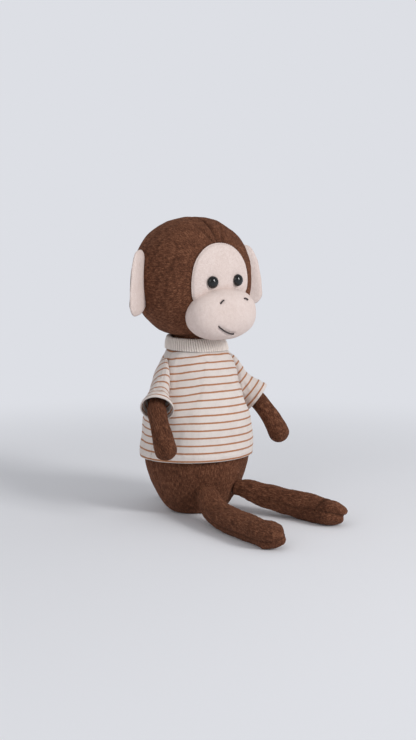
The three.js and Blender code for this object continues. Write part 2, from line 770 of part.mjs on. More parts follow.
add_solid('body_skin', body_skin(), brown_plush);
add_solid('body_filling', body_filling(), stuffing);
add_solid('seat_pellet_bag', seat_pellet_bag(), pellet_cloth);
add_solid('shirt_front', shirt_panel(-1), striped_jersey);
add_solid('shirt_back', shirt_panel(1), striped_jersey);
add_solid('shirt_collar', shirt_collar(), ribbed_knit);
add_pair('sleeve', sleeve(), striped_jersey);
add_pair('arm_skin', arm_skin(), brown_plush);
add_pair('arm_filling', arm_filling(), stuffing);
add_solid('neck_skin', neck_skin(), brown_plush);
add_solid('neck_filling', neck_filling(), stuffing);
add_to_head('head_side_left', head_side(1), brown_plush);
add_to_head('head_side_right', head_side(-1), brown_plush);
add_to_head('forehead_patch', forehead_patch(), cream_plush);
add_to_head('muzzle_patch', muzzle_patch(), cream_plush);
add_to_head('head_filling', head_filling(), stuffing);
add_to_head('muzzle_filling', muzzle_filling(), stuffing);
add_head_pair('eye', eye(1), eye_plastic);
add_head_pair('eye_washer', eye_washer(1), washer_plastic);
add_head_pair('nostril_thread', nostril(1), dark_thread);
add_to_head('mouth_thread', mouth(), dark_thread);
add_head_pair('ear_lining', ear(gap / 2, gap / 2 + ear_panel), cream_plush);
add_head_pair('ear_back', ear(-gap / 2 - ear_panel, -gap / 2), brown_plush);
add_legs('leg_top_panel', (reach) => leg_panel(reach, 1), brown_plush);
add_legs('leg_sole_panel', (reach) => leg_panel(reach, -1), brown_plush);
add_legs('leg_filling', leg_filling, stuffing);
add_solid('tail_skin', tail_skin(), brown_plush);
add_solid('tail_filling', tail_filling(), stuffing);

export default monkey;
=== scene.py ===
# %% [markdown]
# # A plush monkey in a striped shirt
# The toy sits on the floor with its long legs straight out. Its skin is short-pile plush, sewn from
# panels and stuffed, and it wears a knit shirt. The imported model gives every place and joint, and this
# script sews a finer skin over it. Lengths are written in millimetres and turned to metres once.

# %% Frame
import math

import bmesh
import bpy
import numpy as np
from mathutils import Matrix, Vector, noise


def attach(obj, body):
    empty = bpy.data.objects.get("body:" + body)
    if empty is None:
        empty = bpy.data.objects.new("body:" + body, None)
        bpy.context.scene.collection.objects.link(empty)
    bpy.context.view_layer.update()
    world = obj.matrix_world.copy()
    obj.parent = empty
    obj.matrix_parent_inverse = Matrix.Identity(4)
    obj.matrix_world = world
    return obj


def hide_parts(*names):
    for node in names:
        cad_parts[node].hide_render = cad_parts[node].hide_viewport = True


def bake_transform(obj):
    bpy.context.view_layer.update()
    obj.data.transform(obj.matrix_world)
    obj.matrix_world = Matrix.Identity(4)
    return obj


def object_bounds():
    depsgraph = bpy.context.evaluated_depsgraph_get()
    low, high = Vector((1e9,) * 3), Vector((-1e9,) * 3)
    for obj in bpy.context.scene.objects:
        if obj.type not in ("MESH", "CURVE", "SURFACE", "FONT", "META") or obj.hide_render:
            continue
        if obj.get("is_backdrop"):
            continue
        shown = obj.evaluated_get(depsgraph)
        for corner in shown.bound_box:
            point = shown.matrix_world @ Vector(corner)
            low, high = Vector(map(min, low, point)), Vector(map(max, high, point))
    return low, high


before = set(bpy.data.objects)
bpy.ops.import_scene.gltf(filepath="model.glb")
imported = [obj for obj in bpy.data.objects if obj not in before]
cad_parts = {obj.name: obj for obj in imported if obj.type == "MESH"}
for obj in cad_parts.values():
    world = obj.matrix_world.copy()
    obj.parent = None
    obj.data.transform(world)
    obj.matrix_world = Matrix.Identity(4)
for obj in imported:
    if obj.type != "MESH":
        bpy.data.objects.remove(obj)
cad_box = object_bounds()
MM = 0.001

# %% [markdown]
# ## Camera
# The photograph was taken from the toy's front right, a little above its eyes, with a long frame. A 50 mm
# lens on a 36 mm frame gives the same narrowing of the legs towards the viewer.

# %% Camera
EYE_PLACE = Vector((-511, -580, 185)) * MM
LOOK = Vector((0.669, 0.743, -math.tan(math.radians(5.8))))


def add_object(name, data):
    made = bpy.data.objects.new(name, data)
    bpy.context.scene.collection.objects.link(made)
    return made


lens = bpy.data.cameras.new("camera")
lens.lens, lens.sensor_width, lens.clip_start = 50, 36, 0.01
camera = add_object("camera", lens)
camera.location = EYE_PLACE
camera.rotation_euler = LOOK.to_track_quat("-Z", "Y").to_euler()
bpy.context.scene.camera = camera
bpy.context.scene.view_settings.view_transform = "Standard"
print("camera at", tuple(round(c, 3) for c in camera.location))

# %% [markdown]
# ## Nodes and colours
# A material is a small graph of nodes. One function turns a colour as a paint program writes it into the
# linear light that the renderer counts in, and one adds a node with its settings and links.

# %% Colour and node helpers
def linear(code):
    parts = [int(code[i:i + 2], 16) / 255 for i in (1, 3, 5)]
    return [p / 12.92 if p <= 0.04045 else ((p + 0.055) / 1.055) ** 2.4 for p in parts] + [1.0]


def node(owner, kind, settings=None, *values, stops=(), **inputs):
    """Adds a node to a material or a world; settings is a dictionary, or the operation of a maths node.

    Values fill the inputs in order, and other inputs are named, or numbered as i6. Each is a plain value, a
    socket or a node, which stands for its first output. A colour ramp has stops.
    """
    made = owner.node_tree.nodes.new("ShaderNode" + kind)
    for key, value in ({"operation": settings} if isinstance(settings, str) else settings or {}).items():
        setattr(made, key, value)
    for key, value in [(f"i{i}", value) for i, value in enumerate(values)] + list(inputs.items()):
        place = made.inputs[int(key[1:]) if key[1:].isdigit() else key.replace("_", " ")]
        if isinstance(value, bpy.types.Node):
            value = value.outputs[0]
        if isinstance(value, bpy.types.NodeSocket):
            owner.node_tree.links.new(value, place)
        else:
            place.default_value = value
    for _ in stops[2:]:
        made.color_ramp.elements.new(0.5)
    for i, (position, code) in enumerate(stops):
        made.color_ramp.elements[i].position = position
        made.color_ramp.elements[i].color = linear(code)
    return made


def new_material(name):
    """An empty material and its Object coordinates."""
    material = bpy.data.materials.new(name)
    material.use_nodes = True
    material.node_tree.nodes.clear()
    return material, node(material, "TexCoord").outputs["Object"]


def finish_material(material, height, depth, **looks):
    """Ends the graph with the surface's looks; height from 0 to 1 becomes a bump of that depth in metres."""
    bump = node(material, "Bump", Strength=1.0, Distance=depth, Height=height)
    node(material, "OutputMaterial", Surface=node(material, "BsdfPrincipled", Normal=bump, **looks))
    return material


# %% [markdown]
# ## Plush
# Short-pile plush is polyester velour: a knit back with a dense pile about a millimetre long, brushed one
# way. The eye sees soft tufts, darker where they part, and patches that lean another way and shine more.
# Sheen gives the pale rim of the fibres, and a bump from two sizes of noise gives the tufts. The tufts are
# drawn a little coarser than real pile, so that they show at the photograph's size.

# %% Plush materials
TUFT, PATCH, WARP = 0.8 * MM, 22 * MM, 6 * MM


def plush(name, dark, middle, light, sheen, depth):
    material, place = new_material(name)
    warp = node(material, "TexNoise", Vector=place, Scale=1 / WARP, Detail=2.0).outputs["Color"]
    bent = node(material, "VectorMath", "MULTIPLY_ADD", warp, (2.5 * MM,) * 3, place)
    tufts = node(material, "TexNoise", Vector=bent, Scale=1 / TUFT, Detail=4.0, Roughness=0.65)
    clumps = node(material, "TexNoise", Vector=bent, Scale=1 / (3.2 * TUFT), Detail=3.0)
    patches = node(material, "TexNoise", Vector=place, Scale=1 / PATCH, Detail=3.0, Roughness=0.6)
    # The pile is brushed along the panel, so that its strands are longer than wide on the flat cloth
    flat = node(material, "UVMap", {"uv_map": "cloth"})
    drawn = node(material, "Mapping", Vector=flat, Scale=(1.1, 0.2, 1.0))
    strands = node(material, "TexNoise", Vector=drawn, Scale=1 / TUFT, Detail=3.0, Roughness=0.6)
    fine = node(material, "Math", "MULTIPLY_ADD", tufts, 0.62,
                node(material, "Math", "MULTIPLY", clumps, 0.38))
    half = node(material, "Math", "MULTIPLY", fine, 0.5)
    brushed = node(material, "Math", "MULTIPLY_ADD", strands, 0.5, half)
    tone = node(material, "Math", "MULTIPLY_ADD", brushed, 0.86,
                node(material, "Math", "MULTIPLY", patches, 0.14))
    pile = node(material, "ValToRGB", None, tone, stops=[(0.37, dark), (0.5, middle), (0.63, light)])
    # Painted shade: in the grooves of seams, creases and puckers, where the seam attribute is high, the pile is
    # darkened towards its darkest colour
    seam = node(material, "Attribute", {"attribute_name": "seam"}).outputs["Fac"]
    painted_seam_shade = node(material, "Math", "MULTIPLY", seam, 0.6)
    colour = node(material, "Mix", {"data_type": "RGBA"}, painted_seam_shade, i6=pile, i7=linear(dark)).outputs[2]
    return finish_material(material, fine, depth, Base_Color=colour, Roughness=0.92, IOR=1.45,
                           Sheen_Weight=sheen, Sheen_Roughness=0.45, Sheen_Tint=linear(light),
                           Specular_IOR_Level=0.15)


brown_plush = plush("brown_velour_plush", "#2F1B12", "#5A3727", "#8E6048", 0.5, 1.0 * MM)
cream_plush = plush("cream_velour_plush", "#CCBAB1", "#DBCAC3", "#E5D8D2", 0.10, 0.35 * MM)
print("plush tufts drawn", TUFT / MM, "mm apart")

# %% [markdown]
# ## Jersey and rib knit
# The shirt is cotton jersey, about a dozen stitches to the centimetre, knitted in rings of off-white with a
# ring of terracotta every 5.4 mm. The stripes follow the cloth, so they read the piece's own UV map, in
# metres: U goes round the body and V up from the hem. The eye sees a matt, finely grained cloth whose rings
# have soft, slightly uneven edges. The collar is a rib knit in undyed cotton, with shade between its ribs.

# %% Knit materials
STRIPE_PITCH, STRIPE_WIDTH, STRIPE_EDGE = 5.37 * MM, 1.2 * MM, 0.14 * MM
STITCH, SLUB, LINT, STRIPE_WOBBLE = 0.85 * MM, 9 * MM, 0.7 * MM, 0.5 * MM


def jersey(name, ground_stops, stripe_code=None):
    material, place = new_material(name)
    split = node(material, "SeparateXYZ", Vector=node(material, "UVMap", {"uv_map": "cloth"})).outputs
    slub = node(material, "TexNoise", Vector=place, Scale=1 / SLUB, Detail=4.0)
    lint = node(material, "TexNoise", Vector=place, Scale=1 / LINT, Detail=3.0)
    # Each stitch is a small V: the wale goes up, and its two legs lean
    wale = node(material, "Math", "PINGPONG", split["X"], STITCH / 2)
    lean = node(material, "Math", "MULTIPLY_ADD", wale, 0.9, split["Y"])
    course = node(material, "Math", "PINGPONG", lean, STITCH / 2)
    stitch = node(material, "Math", "MULTIPLY", node(material, "Math", "ADD", wale, course), 1 / STITCH)
    uneven = node(material, "Math", "MULTIPLY_ADD", slub, 0.3, node(material, "Math", "MULTIPLY", lint, 0.2))
    mottled = node(material, "Math", "MULTIPLY_ADD", stitch, 0.5, uneven)
    ground = node(material, "ValToRGB", None, mottled, stops=ground_stops).outputs[0]
    if stripe_code:
        wobble = node(material, "Math", "MULTIPLY_ADD", lint, STRIPE_WOBBLE, split["Y"])
        centred = node(material, "Math", "SUBTRACT", wobble, STRIPE_WOBBLE / 2)
        ring = node(material, "Math", "PINGPONG", centred, STRIPE_PITCH / 2)
        soft = node(material, "MapRange", {"interpolation_type": "SMOOTHSTEP"}, ring,
                    STRIPE_WIDTH / 2 - STRIPE_EDGE, STRIPE_WIDTH / 2 + STRIPE_EDGE, 1.0, 0.0)
        dyed = node(material, "Mix", {"data_type": "RGBA", "blend_type": "MULTIPLY"}, 0.5,
                    i6=linear(stripe_code), i7=ground).outputs[2]
        ground = node(material, "Mix", {"data_type": "RGBA"}, soft, i6=ground, i7=dyed).outputs[2]
    # Seams and the hollows of a rib lie in shade
    seam = node(material, "Attribute", {"attribute_name": "seam"}).outputs["Fac"]
    shade = node(material, "Math", "MULTIPLY", seam, 0.5)
    ground = node(material, "Mix", {"data_type": "RGBA"}, shade, i6=ground, i7=linear("#857A72")).outputs[2]
    height = node(material, "Math", "MULTIPLY_ADD", stitch, 0.6,
                  node(material, "Math", "MULTIPLY", lint, 0.4))
    return finish_material(material, height, 0.35 * MM, Base_Color=ground, Roughness=0.9, IOR=1.45,
                           Sheen_Weight=0.08, Sheen_Roughness=0.5, Specular_IOR_Level=0.2)


striped_jersey = jersey("striped_cotton_jersey", [(0.2, "#C9BCB5"), (0.5, "#E0D6D0"), (0.8, "#EDE6E1")],
                        "#BA8460")
ribbed_knit = jersey("ribbed_cotton_knit", [(0.2, "#D2C6BD"), (0.5, "#E9DFD7"), (0.8, "#F5EFE9")])
print("a stripe every", STRIPE_PITCH / MM, "mm,", STRIPE_WIDTH / MM, "mm wide")

# %% [markdown]
# ## Stuffing, bag, thread and plastic
# What is inside gets a true finish too. Polyester fibre fill is white, matt and clumped, and the pellet bag's
# plain woven calico shows its crossing yarns. Twisted polyester thread has fine dark diagonal bands. The
# eyes are polished moulded acrylic, black, with small sharp highlights. The lock washers are matt moulded
# polypropylene, pale, with a broad soft highlight.

# %% Inner and trim materials
CLUMP, WISP, YARN, TWIST = 5 * MM, 1.2 * MM, 0.4 * MM, 2.2 * MM


def fibre_fill():
    material, place = new_material("polyester_fibre_fill")
    clumps = node(material, "TexVoronoi", {"feature": "SMOOTH_F1"}, Vector=place, Scale=1 / CLUMP,
                  Smoothness=0.6)
    wisps = node(material, "TexNoise", Vector=place, Scale=1 / WISP, Detail=5.0)
    mixed = node(material, "Math", "MULTIPLY_ADD", clumps, 0.6,
                 node(material, "Math", "MULTIPLY", wisps, 0.5))
    colour = node(material, "ValToRGB", None, mixed, stops=[(0.2, "#DEDBD4"), (0.7, "#F6F4EF")])
    return finish_material(material, mixed, 1.0 * MM, Base_Color=colour, Roughness=0.95, IOR=1.45,
                           Sheen_Weight=0.2)


def calico():
    material, place = new_material("woven_calico")
    split = node(material, "SeparateXYZ", Vector=place).outputs
    across = node(material, "Math", "PINGPONG", node(material, "Math", "ADD", split["X"], split["Y"]), YARN)
    along = node(material, "Math", "PINGPONG", split["Z"], YARN)
    weave = node(material, "Math", "MULTIPLY", node(material, "Math", "ADD", across, along), 1 / (2 * YARN))
    colour = node(material, "ValToRGB", None, weave, stops=[(0.1, "#C9C1AE"), (0.9, "#E8E2D3")])
    return finish_material(material, weave, 0.2 * MM, Base_Color=colour, Roughness=0.9, IOR=1.45)


def twisted_thread():
    material, place = new_material("twisted_polyester_thread")
    twist = node(material, "TexWave", {"bands_direction": "DIAGONAL"}, Vector=place, Scale=1 / TWIST,
                 Distortion=0.6).outputs["Fac"]
    colour = node(material, "ValToRGB", None, twist, stops=[(0.2, "#21161A"), (0.8, "#40302F")])
    return finish_material(material, twist, 0.12 * MM, Base_Color=colour, Roughness=0.6, IOR=1.5,
                           Sheen_Weight=0.1)


def moulded(name, dark, light, roughness, coat, grain):
    material, place = new_material(name)
    mottle = node(material, "TexNoise", Vector=place, Scale=1 / grain, Detail=2.0)
    colour = node(material, "ValToRGB", None, mottle, stops=[(0.3, dark), (0.7, light)])
    return finish_material(material, mottle, 0.01 * MM, Base_Color=colour, Roughness=roughness, IOR=1.49,
                           Coat_Weight=coat, Coat_Roughness=0.04)


FILL, CALICO, THREAD = fibre_fill(), calico(), twisted_thread()
ACRYLIC = moulded("polished_black_acrylic", "#030304", "#060708", 0.08, 0.1, 3 * MM)
POLYPROPYLENE = moulded("matt_polypropylene", "#DCDAD2", "#E9E7E1", 0.5, 0.0, 1.5 * MM)
print("materials:", ", ".join(m.name for m in bpy.data.materials))

# %% [markdown]
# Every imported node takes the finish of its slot, so that a piece which stays inside is finished as well.

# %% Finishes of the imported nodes
FINISHES = {"brown_plush": brown_plush, "cream_plush": cream_plush, "striped_jersey": striped_jersey,
            "ribbed_knit": ribbed_knit, "stuffing": FILL, "pellet_cloth": CALICO, "dark_thread": THREAD,
            "eye_plastic": ACRYLIC, "washer_plastic": POLYPROPYLENE}
INNER = {"pellet": "pellet_cloth", "filling": "stuffing", "washer": "washer_plastic", "thread": "dark_thread",
         "eye": "eye_plastic", "shirt": "striped_jersey", "sleeve": "striped_jersey", "patch": "cream_plush",
         "lining": "cream_plush"}
for name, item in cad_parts.items():
    slot_name = next((s for word, s in INNER.items() if word in name), "brown_plush")
    item.data.materials.clear()
    item.data.materials.append(FINISHES[slot_name])
print(len(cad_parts), "packed nodes finished")

# %% [markdown]
# ## How a panel is made
# A sewn panel is a flat piece of cloth that stuffing pushes into a curve. Each one starts here as a flat
# grid from a bmesh operator. Its corners are then moved to where the cloth lies, its UV map keeps the flat
# cloth's own millimetres, and the doubled corners at a pole or a closed seam are merged. The larger
# panels are then simulated as cloth, held along their seams, which gathers them a little. Small pushes along
# the surface's normals add the rest of what stuffing and sewing do: lumps, grooves along seams, and fuzz.

# %% Lumps and fuzz
LUMP, TUFT_BUMP, DIMPLE, DIMPLE_SHARE = 11.0, 1.3, 4.0, 0.35


def fuzz(point, size, amount):
    """A smooth random push, always the same at the same place."""
    return amount * noise.noise(Vector(point) / size)


def push_out(bm, lumps, pile):
    """Moves the corners a little along their normals, except along the edges, where two panels meet."""
    for corner in bm.verts:
        if corner.is_boundary:
            continue
        push = (fuzz(corner.co, LUMP, lumps) + fuzz(corner.co, TUFT_BUMP, pile)
                + fuzz(corner.co, DIMPLE, lumps * DIMPLE_SHARE))
        corner.co += corner.normal * push


def outward(bm):
    """Turns the faces so that they look away from the middle of the piece's curve."""
    bm.normal_update()
    middle = sum((v.co for v in bm.verts), Vector()) / len(bm.verts)
    facing = sum(f.normal.dot(f.calc_center_median() - middle) * f.calc_area() for f in bm.faces)
    if facing < 0:
        bmesh.ops.reverse_faces(bm, faces=bm.faces)
    bm.normal_update()


print("lumps about", LUMP, "mm across, and tufts", TUFT_BUMP, "mm")

# %% Thickness of the cloth
def thicken(bm, wall):
    """Adds the back of the cloth, wall millimetres behind its face, and closes the cloth along its edges.

    The solidify operator keeps an even thickness round a fold, which throws out spikes where cloth has
    gathered.
    """
    bm.normal_update()
    edges = [edge.link_loops[0] for edge in bm.edges if edge.is_boundary]
    twins = bmesh.ops.duplicate(bm, geom=bm.verts[:] + bm.edges[:] + bm.faces[:])
    twin = twins["vert_map"]
    behind = [g for g in twins["geom"] if isinstance(g, bmesh.types.BMVert)]
    for corner in behind:
        corner.co -= corner.normal * wall
    bmesh.ops.reverse_faces(bm, faces=[g for g in twins["geom"] if isinstance(g, bmesh.types.BMFace)])
    layer = bm.loops.layers.uv["cloth"]
    for loop in edges:
        after = loop.link_loop_next
        strip = bm.faces.new((after.vert, loop.vert, twin[loop.vert], twin[after.vert]))
        for corner, source in zip(strip.loops, (after, loop, loop, after)):
            corner[layer].uv = source[layer].uv
    bm.normal_update()


# %% Settling the cloth
SETTLING_STEPS, SHARING_ROUNDS, MOST_INWARDS, NO_LENGTH = 10, 4, 0.5, 0.001


def settle(bm, sewn, ease, pressure, most):
    """Simulates a panel as cloth cut a little too large for its seams, which are held.

    The stuffing's pressure blows it out and the spare cloth gathers beside the seams. No corner moves further
    than most, in millimetres, nor further inwards than MOST_INWARDS.
    """
    bm.verts.index_update()
    mesh = bpy.data.meshes.new("settling")
    bmesh.ops.scale(bm, vec=(MM, MM, MM), verts=bm.verts)
    bm.to_mesh(mesh)
    bmesh.ops.scale(bm, vec=(1 / MM, 1 / MM, 1 / MM), verts=bm.verts)
    cloth = add_object("settling", mesh)
    held = cloth.vertex_groups.new(name="sewn")
    for corner in bm.verts:
        held.add([corner.index], 1.0 if corner.is_boundary else sewn(corner.co), "REPLACE")
    modifier = cloth.modifiers.new("cloth", "CLOTH")
    modifier.collision_settings.use_collision = False
    rules = modifier.settings
    rules.quality, rules.mass = 3, 0.15
    rules.tension_stiffness = rules.compression_stiffness = 12
    rules.shear_stiffness, rules.bending_stiffness = 4, 0.2
    rules.vertex_group_mass = "sewn"
    rules.use_pressure, rules.uniform_pressure_force = True, pressure
    rules.shrink_min = -ease
    rules.effector_weights.gravity = 0
    for step in range(1, SETTLING_STEPS + 1):
        bpy.context.scene.frame_set(step)
    settled = cloth.evaluated_get(bpy.context.evaluated_depsgraph_get()).to_mesh()
    bm.normal_update()
    moved = []
    for corner, place in zip(bm.verts, settled.vertices):
        move = place.co / MM - corner.co
        if not all(math.isfinite(c) for c in move):
            move = Vector()
        move -= corner.normal * min(move.dot(corner.normal) + MOST_INWARDS, 0.0)
        moved.append(move * min(1.0, most / max(move.length, NO_LENGTH)))
    # Neighbours share their moves, so that the cloth bends in soft folds and doesn't crease to a point
    for _ in range(SHARING_ROUNDS):
        moved = [move if corner.is_boundary else
                 (move + sum((moved[e.other_vert(corner).index] for e in corner.link_edges), Vector()))
                 / (1 + len(corner.link_edges)) for corner, move in zip(bm.verts, moved)]
    for corner, move in zip(bm.verts, moved):
        corner.co += move
    print("  cloth settled by up to", round(max(m.length for m in moved), 2), "mm")
    bpy.context.scene.frame_set(1)
    bpy.data.objects.remove(cloth)


print("large panels settle in", SETTLING_STEPS, "steps")

# %% A panel
MERGE = 0.02


def write_uv(bm, layer, place):
    """Writes the flat cloth's coordinates, which place gives from a corner and its coordinates so far."""
    for face in bm.faces:
        for loop in face.loops:
            loop[layer].uv = place(loop.vert.co, loop[layer].uv)


def panel(name, cells, place, cloth_size, wall=0.0, lumps=0.35, pile=0.1, floor=None, uv_place=None,
          seams=None, cloth=None, sewn=lambda spot: 0.0):
    """A grid of cells (across, up) moved to place(u, v) in millimetres, with an optional wall thickness.

    The function seams(u, v) gives painted shade, from 0 to 1, for the finish to read, by how near the cloth
    is to a seam, a crease or the hollow of a rib. With cloth, its ease, pressure and greatest move, the panel
    is simulated, held at its edges and where sewn(spot) is 1.
    """
    bm = bmesh.new()
    bmesh.ops.create_grid(bm, x_segments=cells[0], y_segments=cells[1], size=0.5)
    layer = bm.loops.layers.uv.new("cloth")
    write_uv(bm, layer, lambda flat, _: ((flat.x + 0.5) * cloth_size[0] * MM,
                                         (flat.y + 0.5) * cloth_size[1] * MM))
    # Painted shade for each corner, which the finish reads from the seam attribute
    seam_shade_layer = bm.verts.layers.float.new("seam")
    for corner in bm.verts:
        u, v = min(max(corner.co.x + 0.5, 0.0), 1.0), min(max(corner.co.y + 0.5, 0.0), 1.0)
        corner[seam_shade_layer] = seams(u, v) if seams else 0.0
        corner.co = Vector(place(u, v))
    if uv_place:
        write_uv(bm, layer, uv_place)
    bmesh.ops.remove_doubles(bm, verts=bm.verts, dist=MERGE)
    bmesh.ops.dissolve_degenerate(bm, edges=bm.edges, dist=NO_LENGTH)
    outward(bm)
    if cloth:
        settle(bm, sewn, *cloth)
        bm.normal_update()
    push_out(bm, lumps, pile)
    if wall:
        thicken(bm, wall)
    return piece_from(bm, name, floor)


def piece_from(bm, name, floor=None):
    """Closes the bmesh into an object in metres with its place in its mesh."""
    if floor is not None:
        for corner in bm.verts:
            corner.co.z = max(corner.co.z, floor)
    bmesh.ops.scale(bm, vec=(MM, MM, MM), verts=bm.verts)
    mesh = bpy.data.meshes.new(name)
    for face in bm.faces:
        face.smooth = True
    bm.to_mesh(mesh)
    bm.free()
    return add_object(name, mesh)


# %% Dressing a piece
def dress(made, finish, body, *nodes, fill=None):
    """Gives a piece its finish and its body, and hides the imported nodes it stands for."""
    made.data.materials.append(FINISHES[finish])
    if nodes:
        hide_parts(*nodes)
    if body:
        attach(made, body)
    print(f"{made.name}: {len(made.data.polygons)} faces")
    return made


# %% Grooves and smooth lines
def bell(distance, width):
    """One at no distance, and falling off smoothly on both sides."""
    return math.exp(-(distance / width) ** 2)


def dip(distance, width, depth):
    """A groove: how far the cloth is pulled in at a distance from a seam."""
    return -depth * bell(distance, width)


def smooth_line(xs, ys):
    """A smooth curve through places, as a function of x."""
    xs, ys = np.array(xs, float), np.array(ys, float)
    slopes = np.gradient(ys, xs)

    def at(x):
        i = int(np.clip(np.searchsorted(xs, x) - 1, 0, len(xs) - 2))
        h = xs[i + 1] - xs[i]
        t = min(max((x - xs[i]) / h, 0.0), 1.0)
        a, b = (1 + 2 * t) * (1 - t) ** 2, t * (1 - t) ** 2
        c, d = t * t * (3 - 2 * t), t * t * (t - 1)
        return a * ys[i] + b * h * slopes[i] + c * ys[i + 1] + d * h * slopes[i + 1]
    return at


# %% [markdown]
# ## Body
# The body is a pear of brown plush that sits flat on the floor. Only a little of it shows between the legs,
# under the shirt, but its shape carries everything. The half-widths at each height are those of the packed
# body, joined by a smooth line.

# %% Body
TORSO_HEIGHT = 124
HALF_WIDTH, HALF_DEPTH = 42.5, 36.5
# Shares of the grid's rows that close the seat and the top, and how far above the floor the sides begin
SEAT_ROWS, TOP_ROWS, SEAT_LIFT = 0.12, 0.08, 0.3
# A mean radius, which turns an angle into a distance along the cloth, on the head too
ABOUT_RADIUS = 40
HEIGHT_SHARES = [0, 0.032, 0.073, 0.145, 0.218, 0.29, 0.371, 0.468, 0.613, 0.742, 0.871, 0.952, 1]
WIDTH_SHARES = [0.47, 0.6, 0.69, 0.81, 0.905, 0.97, 1, 0.99, 0.91, 0.8, 0.72, 0.61, 0.5]
pear_width = smooth_line([h * TORSO_HEIGHT for h in HEIGHT_SHARES], WIDTH_SHARES)


def pear(turn, height, grow=0.0):
    """A place on the body, turned about from its front towards its left side."""
    share = pear_width(height)
    wide, deep = HALF_WIDTH * share + grow, HALF_DEPTH * share + grow
    return Vector((wide * math.sin(turn), -deep * math.cos(turn), height))


def body_place(u, v):
    turn = 2 * math.pi * u
    if v < SEAT_ROWS:
        share = v / SEAT_ROWS
        return pear(turn, SEAT_LIFT) * share + Vector((0, 0, SEAT_LIFT * (1 - share)))
    if v > 1 - TOP_ROWS:
        share = (1 - v) / TOP_ROWS
        edge = pear(turn, TORSO_HEIGHT - 0.5)
        return Vector((edge.x * share, edge.y * share, edge.z))
    height = SEAT_LIFT + (v - SEAT_ROWS) / (1 - SEAT_ROWS - TOP_ROWS) * (TORSO_HEIGHT - 0.5 - SEAT_LIFT)
    side_seam = abs(math.cos(turn)) * ABOUT_RADIUS
    back_seam = abs(math.sin(turn)) * ABOUT_RADIUS if math.cos(turn) < 0 else ABOUT_RADIUS
    return pear(turn, height, dip(side_seam, 1.6, 0.8) + dip(back_seam, 1.6, 0.8))


body = panel("body_plush", (160, 110), body_place, (230, 190), lumps=0.3, floor=0.05)
dress(body, "brown_plush", "torso", "body_skin", fill=0.9)

# %% [markdown]
# ## Lean of the head
# The head isn't held quite straight: it leans about three degrees to the toy's right, about the middle of
# the ball of stuffing that it sits on. Head, face and ears are made upright, then leaned together.

# %% Lean of the head
NOD_HEIGHT, LEAN_ANGLE = 130.7, math.radians(-2.9)
NOD_PLACE = Vector((0, 2, NOD_HEIGHT)) * MM
LEAN = Matrix.Translation(NOD_PLACE) @ Matrix.Rotation(LEAN_ANGLE, 4, "Y") @ Matrix.Translation(-NOD_PLACE)


def leaned(made):
    made.data.transform(LEAN)
    return made


print("the crown moves", round((LEAN @ (Vector((0, 2, 220.5)) * MM)).x / MM, 1), "mm to the side")

# %% [markdown]
# ## Head
# Two brown side panels meet in a seam over the crown and stop at the face. A polar grid about the face's
# middle fits both: its rows run from the seam round to the back of the head, so that the seam's edge is an
# edge of the mesh and stays crisp. The head is a little fuller than an egg, which a power of 2.2 gives.

# %% Head form
HEAD_MIDDLE = Vector((0, 2, 176.5))
HEAD_HALF = Vector((48, 36, 44))
HEAD_POWER = 2.2
FOREHEAD_HALF_WIDTH, FOREHEAD_FOOT, FOREHEAD_RISE = 28, 152, 50
ARCH_SHARES = [(0.72, 0), (0.87, 0.12), (0.96, 0.22), (1, 0.36), (0.98, 0.54), (0.89, 0.71), (0.7, 0.85),
               (0.42, 0.955), (0.16, 0.995), (0, 1.0)]


def plump(direction, half, power, grow=0.0):
    """A place on a plump form, out from its middle in a direction."""
    size = sum(abs(d / (h + grow)) ** power for d, h in zip(direction, half)) ** (-1 / power)
    return direction * size


arch_points = [(a * FOREHEAD_HALF_WIDTH, FOREHEAD_FOOT + r * FOREHEAD_RISE - HEAD_MIDDLE.z)
               for a, r in ARCH_SHARES]
arch_points = [(x, arch_points[0][1]) for x in (0, 7, 14)] + arch_points
arch_angles = [math.atan2(z, x) for x, z in arch_points]
arch_reach = smooth_line(arch_angles, [math.hypot(x, z) for x, z in arch_points])


def head_front(x, z, grow=0.0):
    """The depth of the head's front at a place across and up from its middle."""
    left = 1 - abs(x / (HEAD_HALF.x + grow)) ** HEAD_POWER - abs(z / (HEAD_HALF.z + grow)) ** HEAD_POWER
    return -(HEAD_HALF.y + grow) * max(left, 0.0) ** (1 / HEAD_POWER)


def seam_angle(rise):
    """How far round from the face's middle its seam lies, for a direction up from the ear."""
    reach = arch_reach(rise)
    x, z = reach * math.cos(rise), reach * math.sin(rise)
    return math.atan2(reach, -head_front(x, z))


print("at its top, the face's seam is", round(math.degrees(seam_angle(math.pi / 2))), "degrees up")

# %% [markdown]
# The crown's seam pulls a groove into the cloth. Where it meets the face's seam, at the top of the forehead,
# two puckers fan out from it on each side and fade backwards. No groove is deeper than the cloth over the
# packed stuffing allows.

# %% Head side panels
SIDES = (("left", 1), ("right", -1))
CROWN_DIP, CROWN_WIDTH, DEEPEST = 1.3, 1.6, 1.7
NEAR_PUCKER, FAR_PUCKER, PUCKER_FADE = (4, 0.45), (11, 0.5), 13


def on_head_side(u, v):
    """The angle up from the ear, the angle round from the front, and the distance from the face's seam."""
    t = 2 * u - 1
    rise = (math.pi / 2) * (0.5 * t + 0.5 * math.sin(math.pi * t / 2))
    first = seam_angle(rise)
    round_it = first + (math.pi - first) * v ** 1.3
    return rise, round_it, (round_it - first) * ABOUT_RADIUS


def from_pucker(from_crown, from_face, start, slope):
    """How far a place is from a pucker that starts at the face's seam and runs away from the crown's."""
    return abs(from_crown - start - slope * from_face)


# Painted shade in the grooves of the face's and the crown's seams and of the near puckers
def head_side_seam_shade(u, v):
    rise, round_it, from_face = on_head_side(u, v)
    from_crown = abs(math.sin(round_it) * math.cos(rise)) * HEAD_HALF.z
    pucker = bell(from_pucker(from_crown, from_face, *NEAR_PUCKER), 1.2) * bell(from_face, PUCKER_FADE)
    return max(bell(from_face, 0.9), bell(from_crown, 1.2), pucker if rise > 0 else 0.0)


